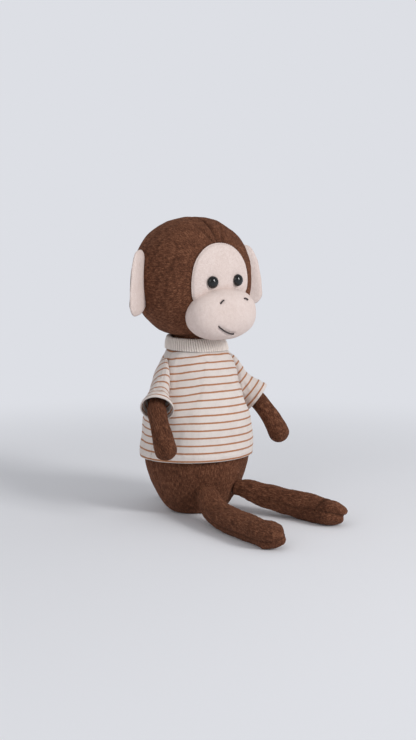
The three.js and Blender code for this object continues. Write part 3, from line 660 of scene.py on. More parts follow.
def head_side_place(facing):
    def place(u, v):
        rise, round_it, from_face = on_head_side(u, v)
        direction = Vector((math.sin(round_it) * math.cos(rise), -math.cos(round_it),
                            math.sin(round_it) * math.sin(rise)))
        surface = plump(direction, HEAD_HALF, HEAD_POWER)
        from_crown = abs(surface.x)
        push = dip(from_face, 1.7, 1.0) + dip(from_crown, CROWN_WIDTH, CROWN_DIP) * (1 - bell(from_face, 1.5))
        if rise > 0:
            push += bell(from_face, PUCKER_FADE) * (1 - bell(from_face, 2.5)) * (
                dip(from_crown, 2.8, 1.8) + dip(from_pucker(from_crown, from_face, *NEAR_PUCKER), 1.5, 1.9)
                + dip(from_pucker(from_crown, from_face, *FAR_PUCKER), 1.6, 0.5))
        out = surface + surface.normalized() * max(push, -DEEPEST)
        return HEAD_MIDDLE + Vector((facing * max(out.x, 0.0), out.y, out.z))
    return place


for side, facing in SIDES:
    shell = panel(f"head_side_plush_{side}", (104, 92), head_side_place(facing), (150, 120), lumps=0.5,
                  seams=head_side_seam_shade, cloth=(0.02, 0.5, 0.8))
    dress(leaned(shell), "brown_plush", "head", f"head_side_{side}", fill=0.95)

# %% [markdown]
# ## Face
# The forehead patch is a second polar grid that ends at the same seam. Its edge is pulled in with the brown
# panels' edge, as a sewn seam is, and small even bites along it are the stitches. The cloth also sinks round
# each eye, where the washer behind pulls it in.

# %% Forehead patch
EYE_SIDE, EYE_HEIGHT, EYE_RADIUS = 12.3, 173.8, 4.5
FOREHEAD_ABOUT, STITCH_LENGTH = 30, 2.4
MUZZLE_MIDDLE = Vector((0, -28, 150))
MUZZLE_HALF = Vector((30, 17, 19))
MUZZLE_POWER, MUZZLE_ABOUT = 2.3, 18


def on_forehead(u, v):
    """The place on the head across and up from its middle, and how far the seam is."""
    turn = 2 * math.pi * u - math.pi / 2
    rise = math.asin(math.sin(turn))
    share = 1 - (1 - v) ** 1.35
    reach = arch_reach(rise) * share
    return reach * math.cos(turn), reach * math.sin(turn), arch_reach(rise) * (1 - share)


def from_muzzle(spot):
    """How far a place on the head is from the edge of the muzzle, roughly."""
    shares = [abs(c / h) for c, h in zip(spot - MUZZLE_MIDDLE, MUZZLE_HALF)]
    return (sum(s ** MUZZLE_POWER for s in shares) ** (1 / MUZZLE_POWER) - 1) * MUZZLE_ABOUT


# Painted shade along the face's seam and in the crease where the forehead meets the muzzle
def forehead_seam_shade(u, v):
    x, z, from_seam = on_forehead(u, v)
    crease = from_muzzle(HEAD_MIDDLE + Vector((x, head_front(x, z), z)))
    return max(0.3 * bell(from_seam, 0.6), 0.45 * bell(crease, 1.1))


def forehead_place(u, v):
    x, z, from_seam = on_forehead(u, v)
    rise = math.atan2(z, abs(x))
    bites = 0.25 * math.sin(2 * math.pi * rise * FOREHEAD_ABOUT / STITCH_LENGTH) * math.exp(-from_seam / 1.2)
    push = 0.5 + dip(from_seam, 1.5, 1.35) + bites
    for facing in (1, -1):
        from_eye = math.hypot(x - facing * EYE_SIDE, z + HEAD_MIDDLE.z - EYE_HEIGHT)
        push += dip(from_eye, 6.0, 0.9)
    place = Vector((x, head_front(x, z), z))
    push += dip(from_muzzle(HEAD_MIDDLE + place), 2.4, 1.0)
    return HEAD_MIDDLE + place + place.normalized() * push


forehead = panel("forehead_patch_plush", (220, 56), forehead_place, (170, 50), lumps=0.25, pile=0.05,
                 seams=forehead_seam_shade)
dress(leaned(forehead), "cream_plush", "head", "forehead_patch", fill=0.95)

# %% [markdown]
# The muzzle is the fullest part of the face. It starts as a cube whose faces are cut into small squares, so
# that it has no poles where the cloth would pinch, and each corner is moved out to a plump bean. The mouth's
# and the nostrils' stitches pull small dimples into it.

# %% Muzzle
MUZZLE_CUTS, DIMPLE_WIDTH, DIMPLE_DEPTH = 43, 1.8, 0.8
MOUTH_HALF_WIDTH, MOUTH_HEIGHT, MOUTH_CURL, MOUTH_LOWEST = 16, 135.3, 4.7, 0.25
MOUTH_ENDS = (-1.0, 0.04)
# Each nostril stitch by the way that it faces: place across, height, length and lean; hand sewing isn't even
NOSTRILS = {1: (13.0, 160.3, 3.6, math.radians(22)), -1: (11.4, 160.1, 4.5, math.radians(30))}


def muzzle_front(x, z):
    """The place on the muzzle's front at a place across and up."""
    left = (1 - abs(x / MUZZLE_HALF.x) ** MUZZLE_POWER
            - abs((z - MUZZLE_MIDDLE.z) / MUZZLE_HALF.z) ** MUZZLE_POWER)
    return Vector((x, MUZZLE_MIDDLE.y - MUZZLE_HALF.y * max(left, 0.0) ** (1 / MUZZLE_POWER), z))


def mouth_line(along):
    """The stitched smile runs from the toy's right corner to just past the middle."""
    share = MOUTH_ENDS[0] + (MOUTH_ENDS[1] - MOUTH_ENDS[0]) * along
    return muzzle_front(share * MOUTH_HALF_WIDTH, MOUTH_HEIGHT + MOUTH_CURL * (share - MOUTH_LOWEST) ** 2)


def nostril_line(facing, share):
    side, height, length, lean = NOSTRILS[facing]
    run, rise = math.cos(lean) * length / 2, math.sin(lean) * length / 2
    return muzzle_front(facing * (side - share * run), height + share * rise)


stitched_places = [mouth_line(s / 12) for s in range(13)]
stitched_places += [nostril_line(f, s / 3) for f in (1, -1) for s in range(-3, 4)]

muzzle_bm = bmesh.new()
bmesh.ops.create_cube(muzzle_bm, size=2.0)
bmesh.ops.subdivide_edges(muzzle_bm, edges=muzzle_bm.edges, cuts=MUZZLE_CUTS, use_grid_fill=True)
for corner in muzzle_bm.verts:
    even = Vector([math.tan(c * math.pi / 4) for c in corner.co])
    surface = MUZZLE_MIDDLE + plump(even.normalized(), MUZZLE_HALF, MUZZLE_POWER)
    near = min((surface - p).length for p in stitched_places)
    corner.co = surface + even.normalized() * dip(near, DIMPLE_WIDTH, DIMPLE_DEPTH)
muzzle_bm.normal_update()
push_out(muzzle_bm, 0.3, 0.05)
muzzle = leaned(piece_from(muzzle_bm, "muzzle_plush"))
dress(muzzle, "cream_plush", "head", "muzzle_patch", fill=1.0)

# %% [markdown]
# ## Stitches
# The mouth and the nostrils are hand stitches of thick thread. A curve with a round bevel lies in each
# dimple, and both of its ends go down into the cloth.

# %% Stitches
THREAD_RADIUS, THREAD_LIFT, END_SINK = 0.55, 0.1, 1.0


def stitch(name, places):
    line = bpy.data.curves.new(name, "CURVE")
    line.dimensions = "3D"
    line.bevel_depth, line.bevel_resolution = THREAD_RADIUS * MM, 3
    run = line.splines.new("POLY")
    run.points.add(len(places) - 1)
    for i, (point, spot) in enumerate(zip(run.points, places)):
        outward_way = (spot - MUZZLE_MIDDLE).normalized()
        lift = -END_SINK if i in (0, len(places) - 1) else THREAD_LIFT
        point.co = (*((spot + outward_way * lift) * MM), 1.0)
    holder = add_object(name + "_line", line)
    mesh = bpy.data.meshes.new_from_object(holder.evaluated_get(bpy.context.evaluated_depsgraph_get()))
    mesh.name = name
    bpy.data.objects.remove(holder)
    bm = bmesh.new()
    bm.from_mesh(mesh)
    bmesh.ops.holes_fill(bm, edges=bm.edges, sides=0)
    bmesh.ops.recalc_face_normals(bm, faces=bm.faces)
    bm.to_mesh(mesh)
    bm.free()
    mesh.materials.clear()
    mesh.shade_smooth()
    return leaned(add_object(name, mesh))


mouth_places = [mouth_line(s / 20) for s in range(21)]
dress(stitch("mouth_stitch", mouth_places), "dark_thread", "head", "mouth_thread")
for side, facing in SIDES:
    nostril_places = [nostril_line(facing, s / 4) for s in range(-4, 5)]
    dress(stitch(f"nostril_stitch_{side}", nostril_places), "dark_thread", "head", f"nostril_thread_{side}")

# %% [markdown]
# ## Eyes
# A safety eye is one moulded piece: a polished dome with a ridged shank through the cloth. A profile is spun
# round the eye's own axis with the spin operator, then set square to the face.

# %% Eyes
SHANK_RADIUS, SHANK_LENGTH, EYE_DOME, DOME_FOOT = 1.5, 8.5, 3.4, 0.6
RIDGES, RIDGE_PITCH, EYE_STEPS = 5, 1.2, 48


def eye_axis(facing):
    x, z = facing * EYE_SIDE, EYE_HEIGHT - HEAD_MIDDLE.z
    spot = Vector((x, head_front(x, z), z))
    way = Vector([math.copysign(abs(c / h) ** (HEAD_POWER - 1) / h, c) for c, h in zip(spot, HEAD_HALF)])
    return HEAD_MIDDLE + spot, way.normalized()


for side, facing in SIDES:
    spot, way = eye_axis(facing)
    eye_bm = bmesh.new()
    profile = [(0, -SHANK_LENGTH), (SHANK_RADIUS - 0.3, -SHANK_LENGTH), (SHANK_RADIUS, -SHANK_LENGTH + 0.4)]
    for ridge in range(RIDGES):
        foot = 1 - SHANK_LENGTH + ridge * RIDGE_PITCH
        profile += [(SHANK_RADIUS, foot), (SHANK_RADIUS - 0.25, foot + 0.3)]
    profile += [(SHANK_RADIUS, 0.1), (EYE_RADIUS - 0.5, 0.1), (EYE_RADIUS - 0.1, 0.35)]
    profile += [(EYE_RADIUS * math.cos(a), DOME_FOOT + EYE_DOME * math.sin(a))
                for a in np.linspace(0, math.pi / 2, 14)]
    corners = [eye_bm.verts.new((r, 0, h)) for r, h in profile]
    edges = [eye_bm.edges.new(pair) for pair in zip(corners, corners[1:])]
    bmesh.ops.spin(eye_bm, geom=corners + edges, cent=(0, 0, 0), axis=(0, 0, 1), angle=2 * math.pi,
                   steps=EYE_STEPS, use_merge=True)
    bmesh.ops.remove_doubles(eye_bm, verts=eye_bm.verts, dist=0.01)
    bmesh.ops.recalc_face_normals(eye_bm, faces=eye_bm.faces)
    bmesh.ops.rotate(eye_bm, matrix=way.to_track_quat("Z", "Y").to_matrix(), verts=eye_bm.verts)
    bmesh.ops.translate(eye_bm, vec=spot, verts=eye_bm.verts)
    dress(leaned(piece_from(eye_bm, f"eye_dome_{side}")), "eye_plastic", "head", f"eye_{side}")

# %% [markdown]
# ## Ears
# An ear is two layers, cream in front and brown behind, sewn round the rim and turned. The lining is the
# larger, so that from behind it shows as a thin pale edge. Both are polar grids over one outline. The root
# goes into the head.

# %% Ears
EAR_WIDTH, EAR_ROOT_DEPTH, EAR_HALF_HEIGHT = 17.3, 7, 22.5
EAR_LEAN, EAR_TILT = math.radians(27), math.radians(6)
EAR_ROOT = Vector((48.6, 2, 174.8))
# The outline, as shares of the width out from the root and of the half-height up
EAR_SHARES = [(0, 0.84), (0.14, 1.0), (0.4, 1.06), (0.66, 0.97), (0.85, 0.64), (0.97, 0.14), (1.03, -0.4),
              (1.02, -0.78), (0.84, -0.98), (0.5, -1), (0.2, -0.93), (0, -0.8)]
EAR_MIDDLE = (0.46, -0.1)
EAR_OUT = Vector((math.cos(EAR_LEAN), -math.sin(EAR_LEAN), 0))
EAR_FRONT = EAR_OUT.cross(Vector((-math.sin(EAR_TILT), 0, math.cos(EAR_TILT)))).normalized()
EAR_UP = EAR_FRONT.cross(EAR_OUT)
ear_angles = list(np.unwrap([math.atan2(h - EAR_MIDDLE[1], (o - EAR_MIDDLE[0]) * 1.08)
                             for o, h in EAR_SHARES]))
ear_angles = [-a for a in ear_angles + [ear_angles[0] - 2 * math.pi]]
ear_out_line, ear_up_line = (smooth_line(ear_angles, [p[k] for p in EAR_SHARES + EAR_SHARES[:1]])
                             for k in (0, 1))


def mirrored(spot, facing):
    """A place on the left side, or its mirror image on the right."""
    return Vector((facing * spot.x, spot.y, spot.z))


def ear_place(facing, layer):
    def place(u, v):
        angle = ear_angles[0] + 2 * math.pi * u
        grow = 1.0 + 0.01 * v if layer > 0 else 1.0 - 0.025 * v
        o = EAR_MIDDLE[0] + (ear_out_line(angle) - EAR_MIDDLE[0]) * v * grow
        h = EAR_MIDDLE[1] + (ear_up_line(angle) - EAR_MIDDLE[1]) * v * grow
        plumpness = math.sqrt(max(1 - v ** 3, 0.0))
        depth = -0.3 + 1.9 * plumpness - 0.5 * bell(1 - v, 0.125) if layer > 0 else -1.2 - 1.3 * plumpness
        return mirrored(EAR_ROOT + EAR_OUT * (o * (EAR_WIDTH + EAR_ROOT_DEPTH) - EAR_ROOT_DEPTH)
                        + EAR_UP * (h * EAR_HALF_HEIGHT) + EAR_FRONT * depth, facing)
    return place


for side, facing in SIDES:
    for layer, word, finish in ((1, "lining", "cream_plush"), (-1, "back", "brown_plush")):
        flap = panel(f"ear_{word}_plush_{side}", (96, 24), ear_place(facing, layer), (120, 22), wall=0.8,
                     lumps=0.25, pile=0.06)
        dress(leaned(flap), finish, None, f"ear_{word}_{side}", fill=0.35)
        way = LEAN.to_3x3() @ mirrored(EAR_OUT, facing)
        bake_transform(flap)

# %% [markdown]
# ## Neck
# Under the head the body goes on as a short tube of plush over a ball of stuffing. It shows only as a dark
# band in the collar, and fills it when the head turns or tips back.

# %% Neck
# The first share of the grid's rows is the tube, and the others close the ball
NECK_RADIUS, NECK_FOOT, TUBE_ROWS = 16.5, 122.5, 0.4


def neck_place(u, v):
    turn = 2 * math.pi * u
    if v < TUBE_ROWS:
        radius, height = NECK_RADIUS, NECK_FOOT + (NOD_HEIGHT - NECK_FOOT) * v / TUBE_ROWS
    else:
        lift = (v - TUBE_ROWS) / (1 - TUBE_ROWS) * math.pi / 2
        radius, height = NECK_RADIUS * math.cos(lift), NOD_HEIGHT + NECK_RADIUS * math.sin(lift)
    return (radius * math.sin(turn), HEAD_MIDDLE.y - radius * math.cos(turn), height)


neck = panel("neck_plush", (96, 40), neck_place, (104, 30), lumps=0.2)
dress(neck, "brown_plush", None, "neck_skin", fill=0.95)
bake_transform(neck)

# %% [markdown]
# ## Shirt
# The shirt is two jersey panels sewn at the sides, each a grid that wraps half of the body and stands a
# millimetre or two off it. Its stripes are rings of the flat cloth, so where the cloth slopes over a
# shoulder they sink towards the armhole. That sinking is written into the UV map. Small folds run out from
# the armholes, and the hem is turned up once and stitched.

# %% Shirt panels
SHIRT_HEM, SHIRT_TOP, SHIRT_GROW, NECK_RISE, HEM_TURN = 43.0, 122.3, 1.5, 2.6, 5.0
# The cloth is looser at the hem and round the waist
HEM_LOOSE, WAIST_LOOSE, WAIST, WAIST_REACH, ABOUT_WAIST = 1.0, 1.4, 76, 14, 38
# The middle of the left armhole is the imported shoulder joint's place, and the oval leans with the body
ARMHOLE = Vector((33.138, 0, 97.005))
ARMHOLE_LEAN = math.radians(15)
ARMHOLE_UP = Vector((-math.sin(ARMHOLE_LEAN), 0, math.cos(ARMHOLE_LEAN)))
ARMHOLE_HALF_HEIGHT, ARMHOLE_HALF_DEPTH, ARMHOLE_BACK = 22, 9.8, 0.8
RING_SINK, FIRST_RING = 3.0, 1.1


def smooth(value, low, high):
    t = min(max((value - low) / (high - low), 0.0), 1.0)
    return t * t * (3 - 2 * t)


def shirt_folds(spot):
    """Soft folds that fan out from both armholes and slacken downwards."""
    push = 0.0
    for facing in (1, -1):
        away = Vector((spot.x - facing * ARMHOLE.x, spot.y, spot.z - ARMHOLE.z + 8))
        fan = math.atan2(away.z, abs(away.y) + 0.01)
        push += 0.55 * math.sin(7 * fan + 0.6 * facing) * bell(away.length - 17, 9)
    bend = 2.2 * math.sin(math.atan2(spot.x, -spot.y))
    push += 0.35 * math.sin(spot.z / 4.6 + bend) * smooth(spot.z, 80, 50)
    return push


def neckline(turn):
    """The neckline rises from the front towards the back."""
    return SHIRT_TOP + NECK_RISE * 0.5 * (1 - math.cos(turn))


def shirt_place(front):
    def place(u, v):
        turn = math.pi * (u - 0.5) + (0 if front else math.pi)
        height = SHIRT_HEM + (neckline(turn) - SHIRT_HEM) * v
        grow = (SHIRT_GROW + HEM_LOOSE * smooth(height, 60, SHIRT_HEM)
                + WAIST_LOOSE * bell(height - WAIST, WAIST_REACH))
        spot = pear(turn, height, grow)
        side = min(u, 1 - u) * math.pi * ABOUT_WAIST
        from_hem = height - SHIRT_HEM
        push = shirt_folds(spot) + dip(side, 1.4, 0.7) + dip(from_hem - HEM_TURN, 0.7, 0.35)
        push += 0.45 * smooth(from_hem, HEM_TURN, HEM_TURN - 1) + dip(neckline(turn) - height, 1.5, 0.4)
        return spot + Vector((spot.x, spot.y, 0)).normalized() * push
    return place


def at_armhole(spot):
    """Where the sleeves are sewn on."""
    across = (spot.y - ARMHOLE_BACK) / ARMHOLE_HALF_DEPTH
    up = (spot.z - ARMHOLE.z) / ARMHOLE_HALF_HEIGHT
    return smooth(1.25 - math.hypot(across, up), 0.0, 0.2) if abs(spot.x) > 15 else 0.0


def shirt_cloth(spot, flat):
    """The flat cloth's coordinates: rings sink towards the armholes on the sloping shoulders."""
    aside = math.degrees(math.asin(min(1.0, abs(spot.x) / max(math.hypot(spot.x, spot.y), 1.0))))
    sink = RING_SINK * smooth(aside, 20, 100) * smooth(spot.z, 60, 90)
    return (flat[0], (spot.z - SHIRT_HEM + sink - FIRST_RING) * MM)


for word, front in (("front", True), ("back", False)):
    cloth = panel(f"shirt_{word}_jersey", (150, 110), shirt_place(front), (128, 78), wall=0.8, lumps=0.25,
                  pile=0.02, uv_place=shirt_cloth, cloth=(0.025, 0.3, 1.0), sewn=at_armhole)
    dress(cloth, "striped_jersey", "torso", f"shirt_{word}")

# %% [markdown]
# The collar is rib knit folded double: round the outside, over the rim and down again inside. Its ribs are
# real ridges, about 1.8 mm apart, because they show along the rim.

# %% Collar
COLLAR_LAP, COLLAR_HEIGHT, COLLAR_RIBS, RIB_DEPTH = 0.5, 8.2, 80, 0.9
COLLAR_HALF = (24.6, 21.6)
# The grid's rows: the outside ends at the first share, and the rim at the second
OUTSIDE_END, RIM_END = 0.5, 0.64


def collar_place(u, v):
    turn = 2 * math.pi * u
    rib = abs(math.cos(math.pi * COLLAR_RIBS * u)) ** 0.7
    if v < OUTSIDE_END:
        share, inside = v / OUTSIDE_END, 0.0
    elif v < RIM_END:
        lift = (v - OUTSIDE_END) / (RIM_END - OUTSIDE_END) * math.pi
        share, inside = 1 + 0.1 * math.sin(lift), 1 - math.cos(lift)
    else:
        share, inside = 1 - (v - RIM_END) / (1 - RIM_END), 2.0
    inward = inside - RIB_DEPTH * rib * (1 if inside < 1 else -1) + 2.3 * share
    wave = 0.35 * math.sin(3 * turn + 0.8) * share + 0.2 * math.sin(7 * turn) * share
    swell = 0.5 * math.sin(math.pi * min(share, 1.0))
    wide, deep = [h - inward + swell + wave for h in COLLAR_HALF]
    uneven = (0.3 * math.sin(2 * turn + 1) + 0.3 * rib) * share
    height = neckline(turn) - COLLAR_LAP + COLLAR_HEIGHT * share + uneven
    return (wide * math.sin(turn), -deep * math.cos(turn) + 1.5 * share, height)


def collar_ribs(u, v):
    """The hollows between the ribs lie in shade."""
    return 1 - min(1.0, 1.6 * abs(math.cos(math.pi * COLLAR_RIBS * u)))


collar = panel("collar_rib", (COLLAR_RIBS * 10, 26), collar_place, (150, 24), lumps=0.12, pile=0.03,
               seams=collar_ribs)
dress(collar, "ribbed_knit", "torso", "shirt_collar")

# %% [markdown]
# ## Sleeves
# Each short sleeve is sewn to the armhole's oval and ends in a round cuff. The grid's first row lies on the
# shirt, and the last is the cuff's edge. The seam at the armhole draws the cloth in, and puckers it. The
# stripes run with the cuff, so their UV is the distance from the cuff's plane. The right armhole lies a little
# further back than the left one.

# %% Sleeves
CUFF = ARMHOLE + Vector((17.3, -14, -14))
CUFF_WAY = Vector((0.6, -0.52, -0.6)).normalized()
CUFF_RADIUS = 11.4
CUFF_UP = (Vector((0, 0, 1)) - CUFF_WAY * CUFF_WAY.z).normalized()
CUFF_SIDE = CUFF_WAY.cross(CUFF_UP)
CUFF_HEM, FIRST_CUFF_RING, PUCKERS, PUFF, SEAM_SINK = 4.2, 2.8, 19, 6.0, 0.9
# By the way that a side faces: how far back its armhole is, and the armhole's half-height
ARMHOLES = {1: (ARMHOLE_BACK, ARMHOLE_HALF_HEIGHT), -1: (ARMHOLE_BACK + 4.0, ARMHOLE_HALF_HEIGHT - 2)}


def on_shirt(spot):
    """Moves a place sideways on to the shirt, and a little into it."""
    share = pear_width(spot.z)
    wide, deep = HALF_WIDTH * share + SHIRT_GROW, HALF_DEPTH * share + SHIRT_GROW
    spot.x = wide * math.sqrt(max(1 - (spot.y / deep) ** 2, 0)) - SEAM_SINK
    return spot


def sleeve_place(facing):
    def place(u, v):
        angle = 2 * math.pi * u
        back, half_height = ARMHOLES[facing]
        root = on_shirt(ARMHOLE + Vector((0, back, 0))
                        + Vector((0, -1, 0)) * ARMHOLE_HALF_DEPTH * math.cos(angle)
                        + ARMHOLE_UP * half_height * math.sin(angle))
        cuff = CUFF + (CUFF_SIDE * math.cos(angle) + CUFF_UP * math.sin(angle)) * CUFF_RADIUS
        share = v ** 0.9
        spot = root.lerp(cuff, share)
        spoke = (spot - ARMHOLE.lerp(CUFF, share)).normalized()
        length = (cuff - root).length
        from_seam, from_cuff = share * length, (1 - share) * length
        pucker = 0.35 * math.sin(angle * PUCKERS) * math.exp(-from_seam / 2.2)
        swell = 1.3 * bell(from_seam - 4, 3.5) - 1.5 * bell(share - 0.55, 0.22)
        push = pucker + swell + 0.9 * share ** 4 + dip(from_cuff - CUFF_HEM, 0.7, 0.3)
        push += 0.6 * math.sin(2 * angle + 1.1) * math.sin(math.pi * share)
        # The cap is puffed over the shoulder
        push += PUFF * bell(share - 0.27, 0.2) * max(math.sin(angle), 0.0) ** 1.5
        return mirrored(spot + spoke * push, facing)
    return place


def sleeve_cloth(facing):
    def cloth(spot, flat):
        away = mirrored(spot, facing) - CUFF
        return (flat[0], (-away.dot(CUFF_WAY) - FIRST_CUFF_RING) * MM)
    return cloth


for side, facing in SIDES:
    sleeve = panel(f"sleeve_jersey_{side}", (144, 44), sleeve_place(facing), (88, 34), wall=0.8, lumps=0.2,
                   pile=0.02, uv_place=sleeve_cloth(facing), cloth=(0.03, 0.2, 0.8))
    dress(sleeve, "striped_jersey", None, f"sleeve_{side}")
    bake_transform(sleeve)

# %% [markdown]
# ## Limbs
# Arms, legs and tail are all long stuffed tubes along a curve. The curve runs smoothly through a few places,
# and the tube's half-width and half-thickness change along it. The grid wraps round the curve, and both of
# its ends close in a pole.

# %% Limb helper
CURVE_STEPS, CURVE_POINTS = 60, 400


def curve_through(places):
    """Points on a smooth curve through places, evenly spaced, with the way the curve runs at each."""
    places = [Vector(p) for p in places]
    ends = [places[0] * 2 - places[1]] + places + [places[-1] * 2 - places[-2]]
    dense = []
    for a, b, c, d in zip(ends, ends[1:], ends[2:], ends[3:]):
        for step in range(CURVE_STEPS):
            t = step / CURVE_STEPS
            dense.append(0.5 * (2 * b + (c - a) * t + (2 * a - 5 * b + 4 * c - d) * t * t
                                + (3 * b - a - 3 * c + d) * t ** 3))
    dense.append(places[-1])
    points = np.array([tuple(p) for p in dense])
    reach = np.concatenate([[0], np.cumsum(np.linalg.norm(np.diff(points, axis=0), axis=1))])
    even = np.linspace(0, reach[-1], CURVE_POINTS)
    points = np.stack([np.interp(even, reach, points[:, k]) for k in range(3)], axis=1)
    ways = np.gradient(points, axis=0)
    ways /= np.linalg.norm(ways, axis=1, keepdims=True)
    return points, ways, reach[-1]


class Limb:
    """A stuffed tube along a curve; sections are (share of the length, half-width, half-thickness)."""

    def __init__(self, places, sections, radius, up, start, tip=0.9):
        self.points, self.ways, self.length = curve_through(places)
        self.wide = smooth_line([s[0] for s in sections], [s[1] * radius for s in sections])
        self.thick = smooth_line([s[0] for s in sections], [s[2] * radius for s in sections])
        self.up, self.start, self.tip = Vector(up), start, tip * radius

    def at(self, share):
        """The curve's place and its sideways and upward ways; below zero it runs straight back."""
        place = share * (len(self.points) - 1)
        low = int(min(max(math.floor(place), 0), len(self.points) - 2))
        t = min(max(place - low, 0.0), 1.0)
        point = Vector(self.points[low]).lerp(Vector(self.points[low + 1]), t)
        way = Vector(self.ways[low]).lerp(Vector(self.ways[low + 1]), t).normalized()
        point += way * min(share, 0.0) * self.length
        side = way.cross(self.up).normalized()
        return point, side, side.cross(way)

    def share(self, v):
        """The share of the length at a row of the grid, from before the root to the tip."""
        first = -self.start / self.length
        return first + (1 - first) * v

    def closing(self, share):
        """How open the tube is: one along its length, falling to nothing over the round tip."""
        tip = min(1.0, (1 - share) * self.length / self.tip)
        return math.sqrt(max(1 - (1 - tip) ** 2, 0.0))

    def surface(self, angle, v, push=0.0):
        """A place on the tube, pushed out from it: sideways along its length, and forward at the tip."""
        share = self.share(v)
        close = self.closing(share)
        root = min(1.0, v * 60)
        point, side, over = self.at(share)
        wide = (self.wide(max(share, 0)) + push) * close * root
        thick = (self.thick(max(share, 0)) + push) * close * root
        point += over.cross(side) * push * (1 - close)
        return point + side * wide * math.cos(angle) + over * thick * math.sin(angle)


def tip_spread(v):
    """Rows lie closer together towards the round tip."""
    return 1 - (1 - v) ** 1.5


def stuffing_of(name, place, stands_for):
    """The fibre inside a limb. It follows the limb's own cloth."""
    return dress(panel(name, (48, 90), place, (60, 105), lumps=0.2), "stuffing", None, stands_for)


# %% [markdown]
# The arms come out of the cuffs and hang forward. The hands are only a little thicker than the arms. A seam
# runs along the back of each arm.

# %% Arms
FILLING_BEHIND = 1.6
ARM_RADIUS = 7.2
# Steps out, forward and down from the armhole, and the width at shares of the length
ARM_STEPS = [(0, 0, 1), (10.5, 6.3, 8.2), (17, 13.3, 15), (21, 22, 26), (23.4, 29, 37), (23.8, 35, 47)]
ARM_SECTIONS = [(0, 0.7), (0.15, 0.8), (0.3, 0.88), (0.45, 0.96), (0.6, 0.95), (0.74, 1.03), (0.86, 1.1),
                (1, 1.06)]


def tube(limb, radius, facing, seam_width, seam_depth):
    """The cloth of a limb that has a single seam along it, and its stuffing a little behind the cloth."""
    def place(u, v):
        seam = min(u, 1 - u) * 2 * math.pi * radius
        push = dip(seam, seam_width, seam_depth)
        return mirrored(limb.surface(2 * math.pi * u + math.pi, tip_spread(v), push), facing)

    def inside(u, v):
        return mirrored(limb.surface(2 * math.pi * u + math.pi, tip_spread(v), -FILLING_BEHIND), facing)
    return place, inside


arm = Limb([ARMHOLE + Vector((o, -f, -d)) for o, f, d in ARM_STEPS], [(s, w, w) for s, w in ARM_SECTIONS],
           ARM_RADIUS, ARMHOLE_UP, 5)
for side, facing in SIDES:
    arm_place, arm_inside = tube(arm, ARM_RADIUS, facing, seam_width=1.3, seam_depth=0.8)
    cloth = panel(f"arm_plush_{side}", (72, 90), arm_place, (46, 70), lumps=0.45)
    dress(cloth, "brown_plush", None, f"arm_skin_{side}", fill=0.85)
    for piece in (cloth, stuffing_of(f"arm_fibre_{side}", arm_inside, f"arm_filling_{side}")):
        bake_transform(piece)

# %% [markdown]
# ## Legs
# Each leg is a top panel and a sole panel, sewn along both sides and round the toe. The seam is pulled in,
# deepest at the toe, where it makes a cleft between two lobes. On the outer side it runs low, because the
# sole panel is the narrower one. Stitches pucker the cloth beside it. A curved seam crosses the left foot.

# %% Legs
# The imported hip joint's place on the left side, and the way that the leg leaves it
HIP = Vector((17.356, -30.044, 18.534))
HIP_WAY = Vector((0.366, -0.837, -0.407)).normalized()
LEG_RADIUS, TOE_SIDE, TOE_HEIGHT = 9.2, 39, 8.6
LEG_REACH = {"left": 114, "right": 128}
# How much fuller each leg is along its middle, and how long its round tip is in radii
LEG_BUILD = {"left": (1.06, 1.3), "right": (0.98, 1.55)}
# Shares of the way from hip to toe: outward and forward, then down, which is less steep on the left leg
LEG_SHARES = [(0, 0), (0.17, 0.08), (0.46, 0.22), (0.74, 0.48), (0.9, 0.74), (1, 1)]
LEG_HEIGHTS = {"left": (1, 0.88, 0.52, 0.22, 0.05, 0), "right": (1, 0.66, 0.2, 0.03, 0, 0)}
LEG_SECTIONS = [(0, 0.86, 0.7), (0.035, 0.94, 0.78), (0.09, 0.97, 0.87), (0.16, 0.98, 0.94),
                (0.26, 0.99, 0.99), (0.45, 1, 1), (0.66, 1, 0.98), (0.83, 1.12, 0.95), (0.9, 1.13, 0.95),
                (1, 1.1, 0.92)]
# The seam's depth along the leg on its inner and outer side, and at the toe by the way that the side faces
INNER_DEPTH, OUTER_DEPTH, CLEFTS = 0.35, 1.1, {1: 3.0, -1: 1.9}
OUTER_LOW, INNER_HIGH, LEG_STITCH = math.radians(24), math.radians(18), 2.6
ANKLE, ANKLE_BOW = 0.82, 4.0


def ankle_arc(share, angle, length):
    """How far the cloth lies from the seam that goes over the left foot."""
    return abs(share * length - ANKLE * length + ANKLE_BOW * math.cos(angle))


def across_panel(u, top):
    """The share of the way across a panel, closer together at its seams, and whether it is the inner half."""
    swing = 0.5 * u + 0.25 * (1 - math.cos(math.pi * u))
    return swing, swing < 0.5 if top else swing > 0.5


def leg_place(facing, leg, top, behind=0.0):
    def place(u, v):
        row = tip_spread(v)
        share = leg.share(row)
        low = OUTER_LOW * smooth(share, 0.1, 0.35)
        high = INNER_HIGH * smooth(share, 0.55, 0.8)
        first, last = (high, math.pi + low) if top else (math.pi + low, 2 * math.pi + high)
        swing, inner = across_panel(u, top)
        angle = first + (last - first) * swing
        around = (last - first) * LEG_RADIUS * leg.closing(share)
        seam = min(swing, 1 - swing) * around
        toe = smooth(share, 0.8, 0.97)
        pucker = 0.22 * math.sin(2 * math.pi * share * leg.length / LEG_STITCH) * math.exp(-seam / 2.2)
        # The seam on the inner side is drawn in less, until it deepens into the toe's cleft
        along = INNER_DEPTH if inner else OUTER_DEPTH
        depth = along + (CLEFTS[facing] - along) * toe
        push = dip(seam, 1.5 + 1.2 * toe, depth) + pucker + 1.0 * toe * bell(seam - 6, 3)
        if facing > 0 and top:
            push += dip(ankle_arc(share, angle, leg.length), 1.5, 1.5) * (1 - bell(seam, 2))
        return mirrored(leg.surface(angle, row, push - behind), facing)
    return place


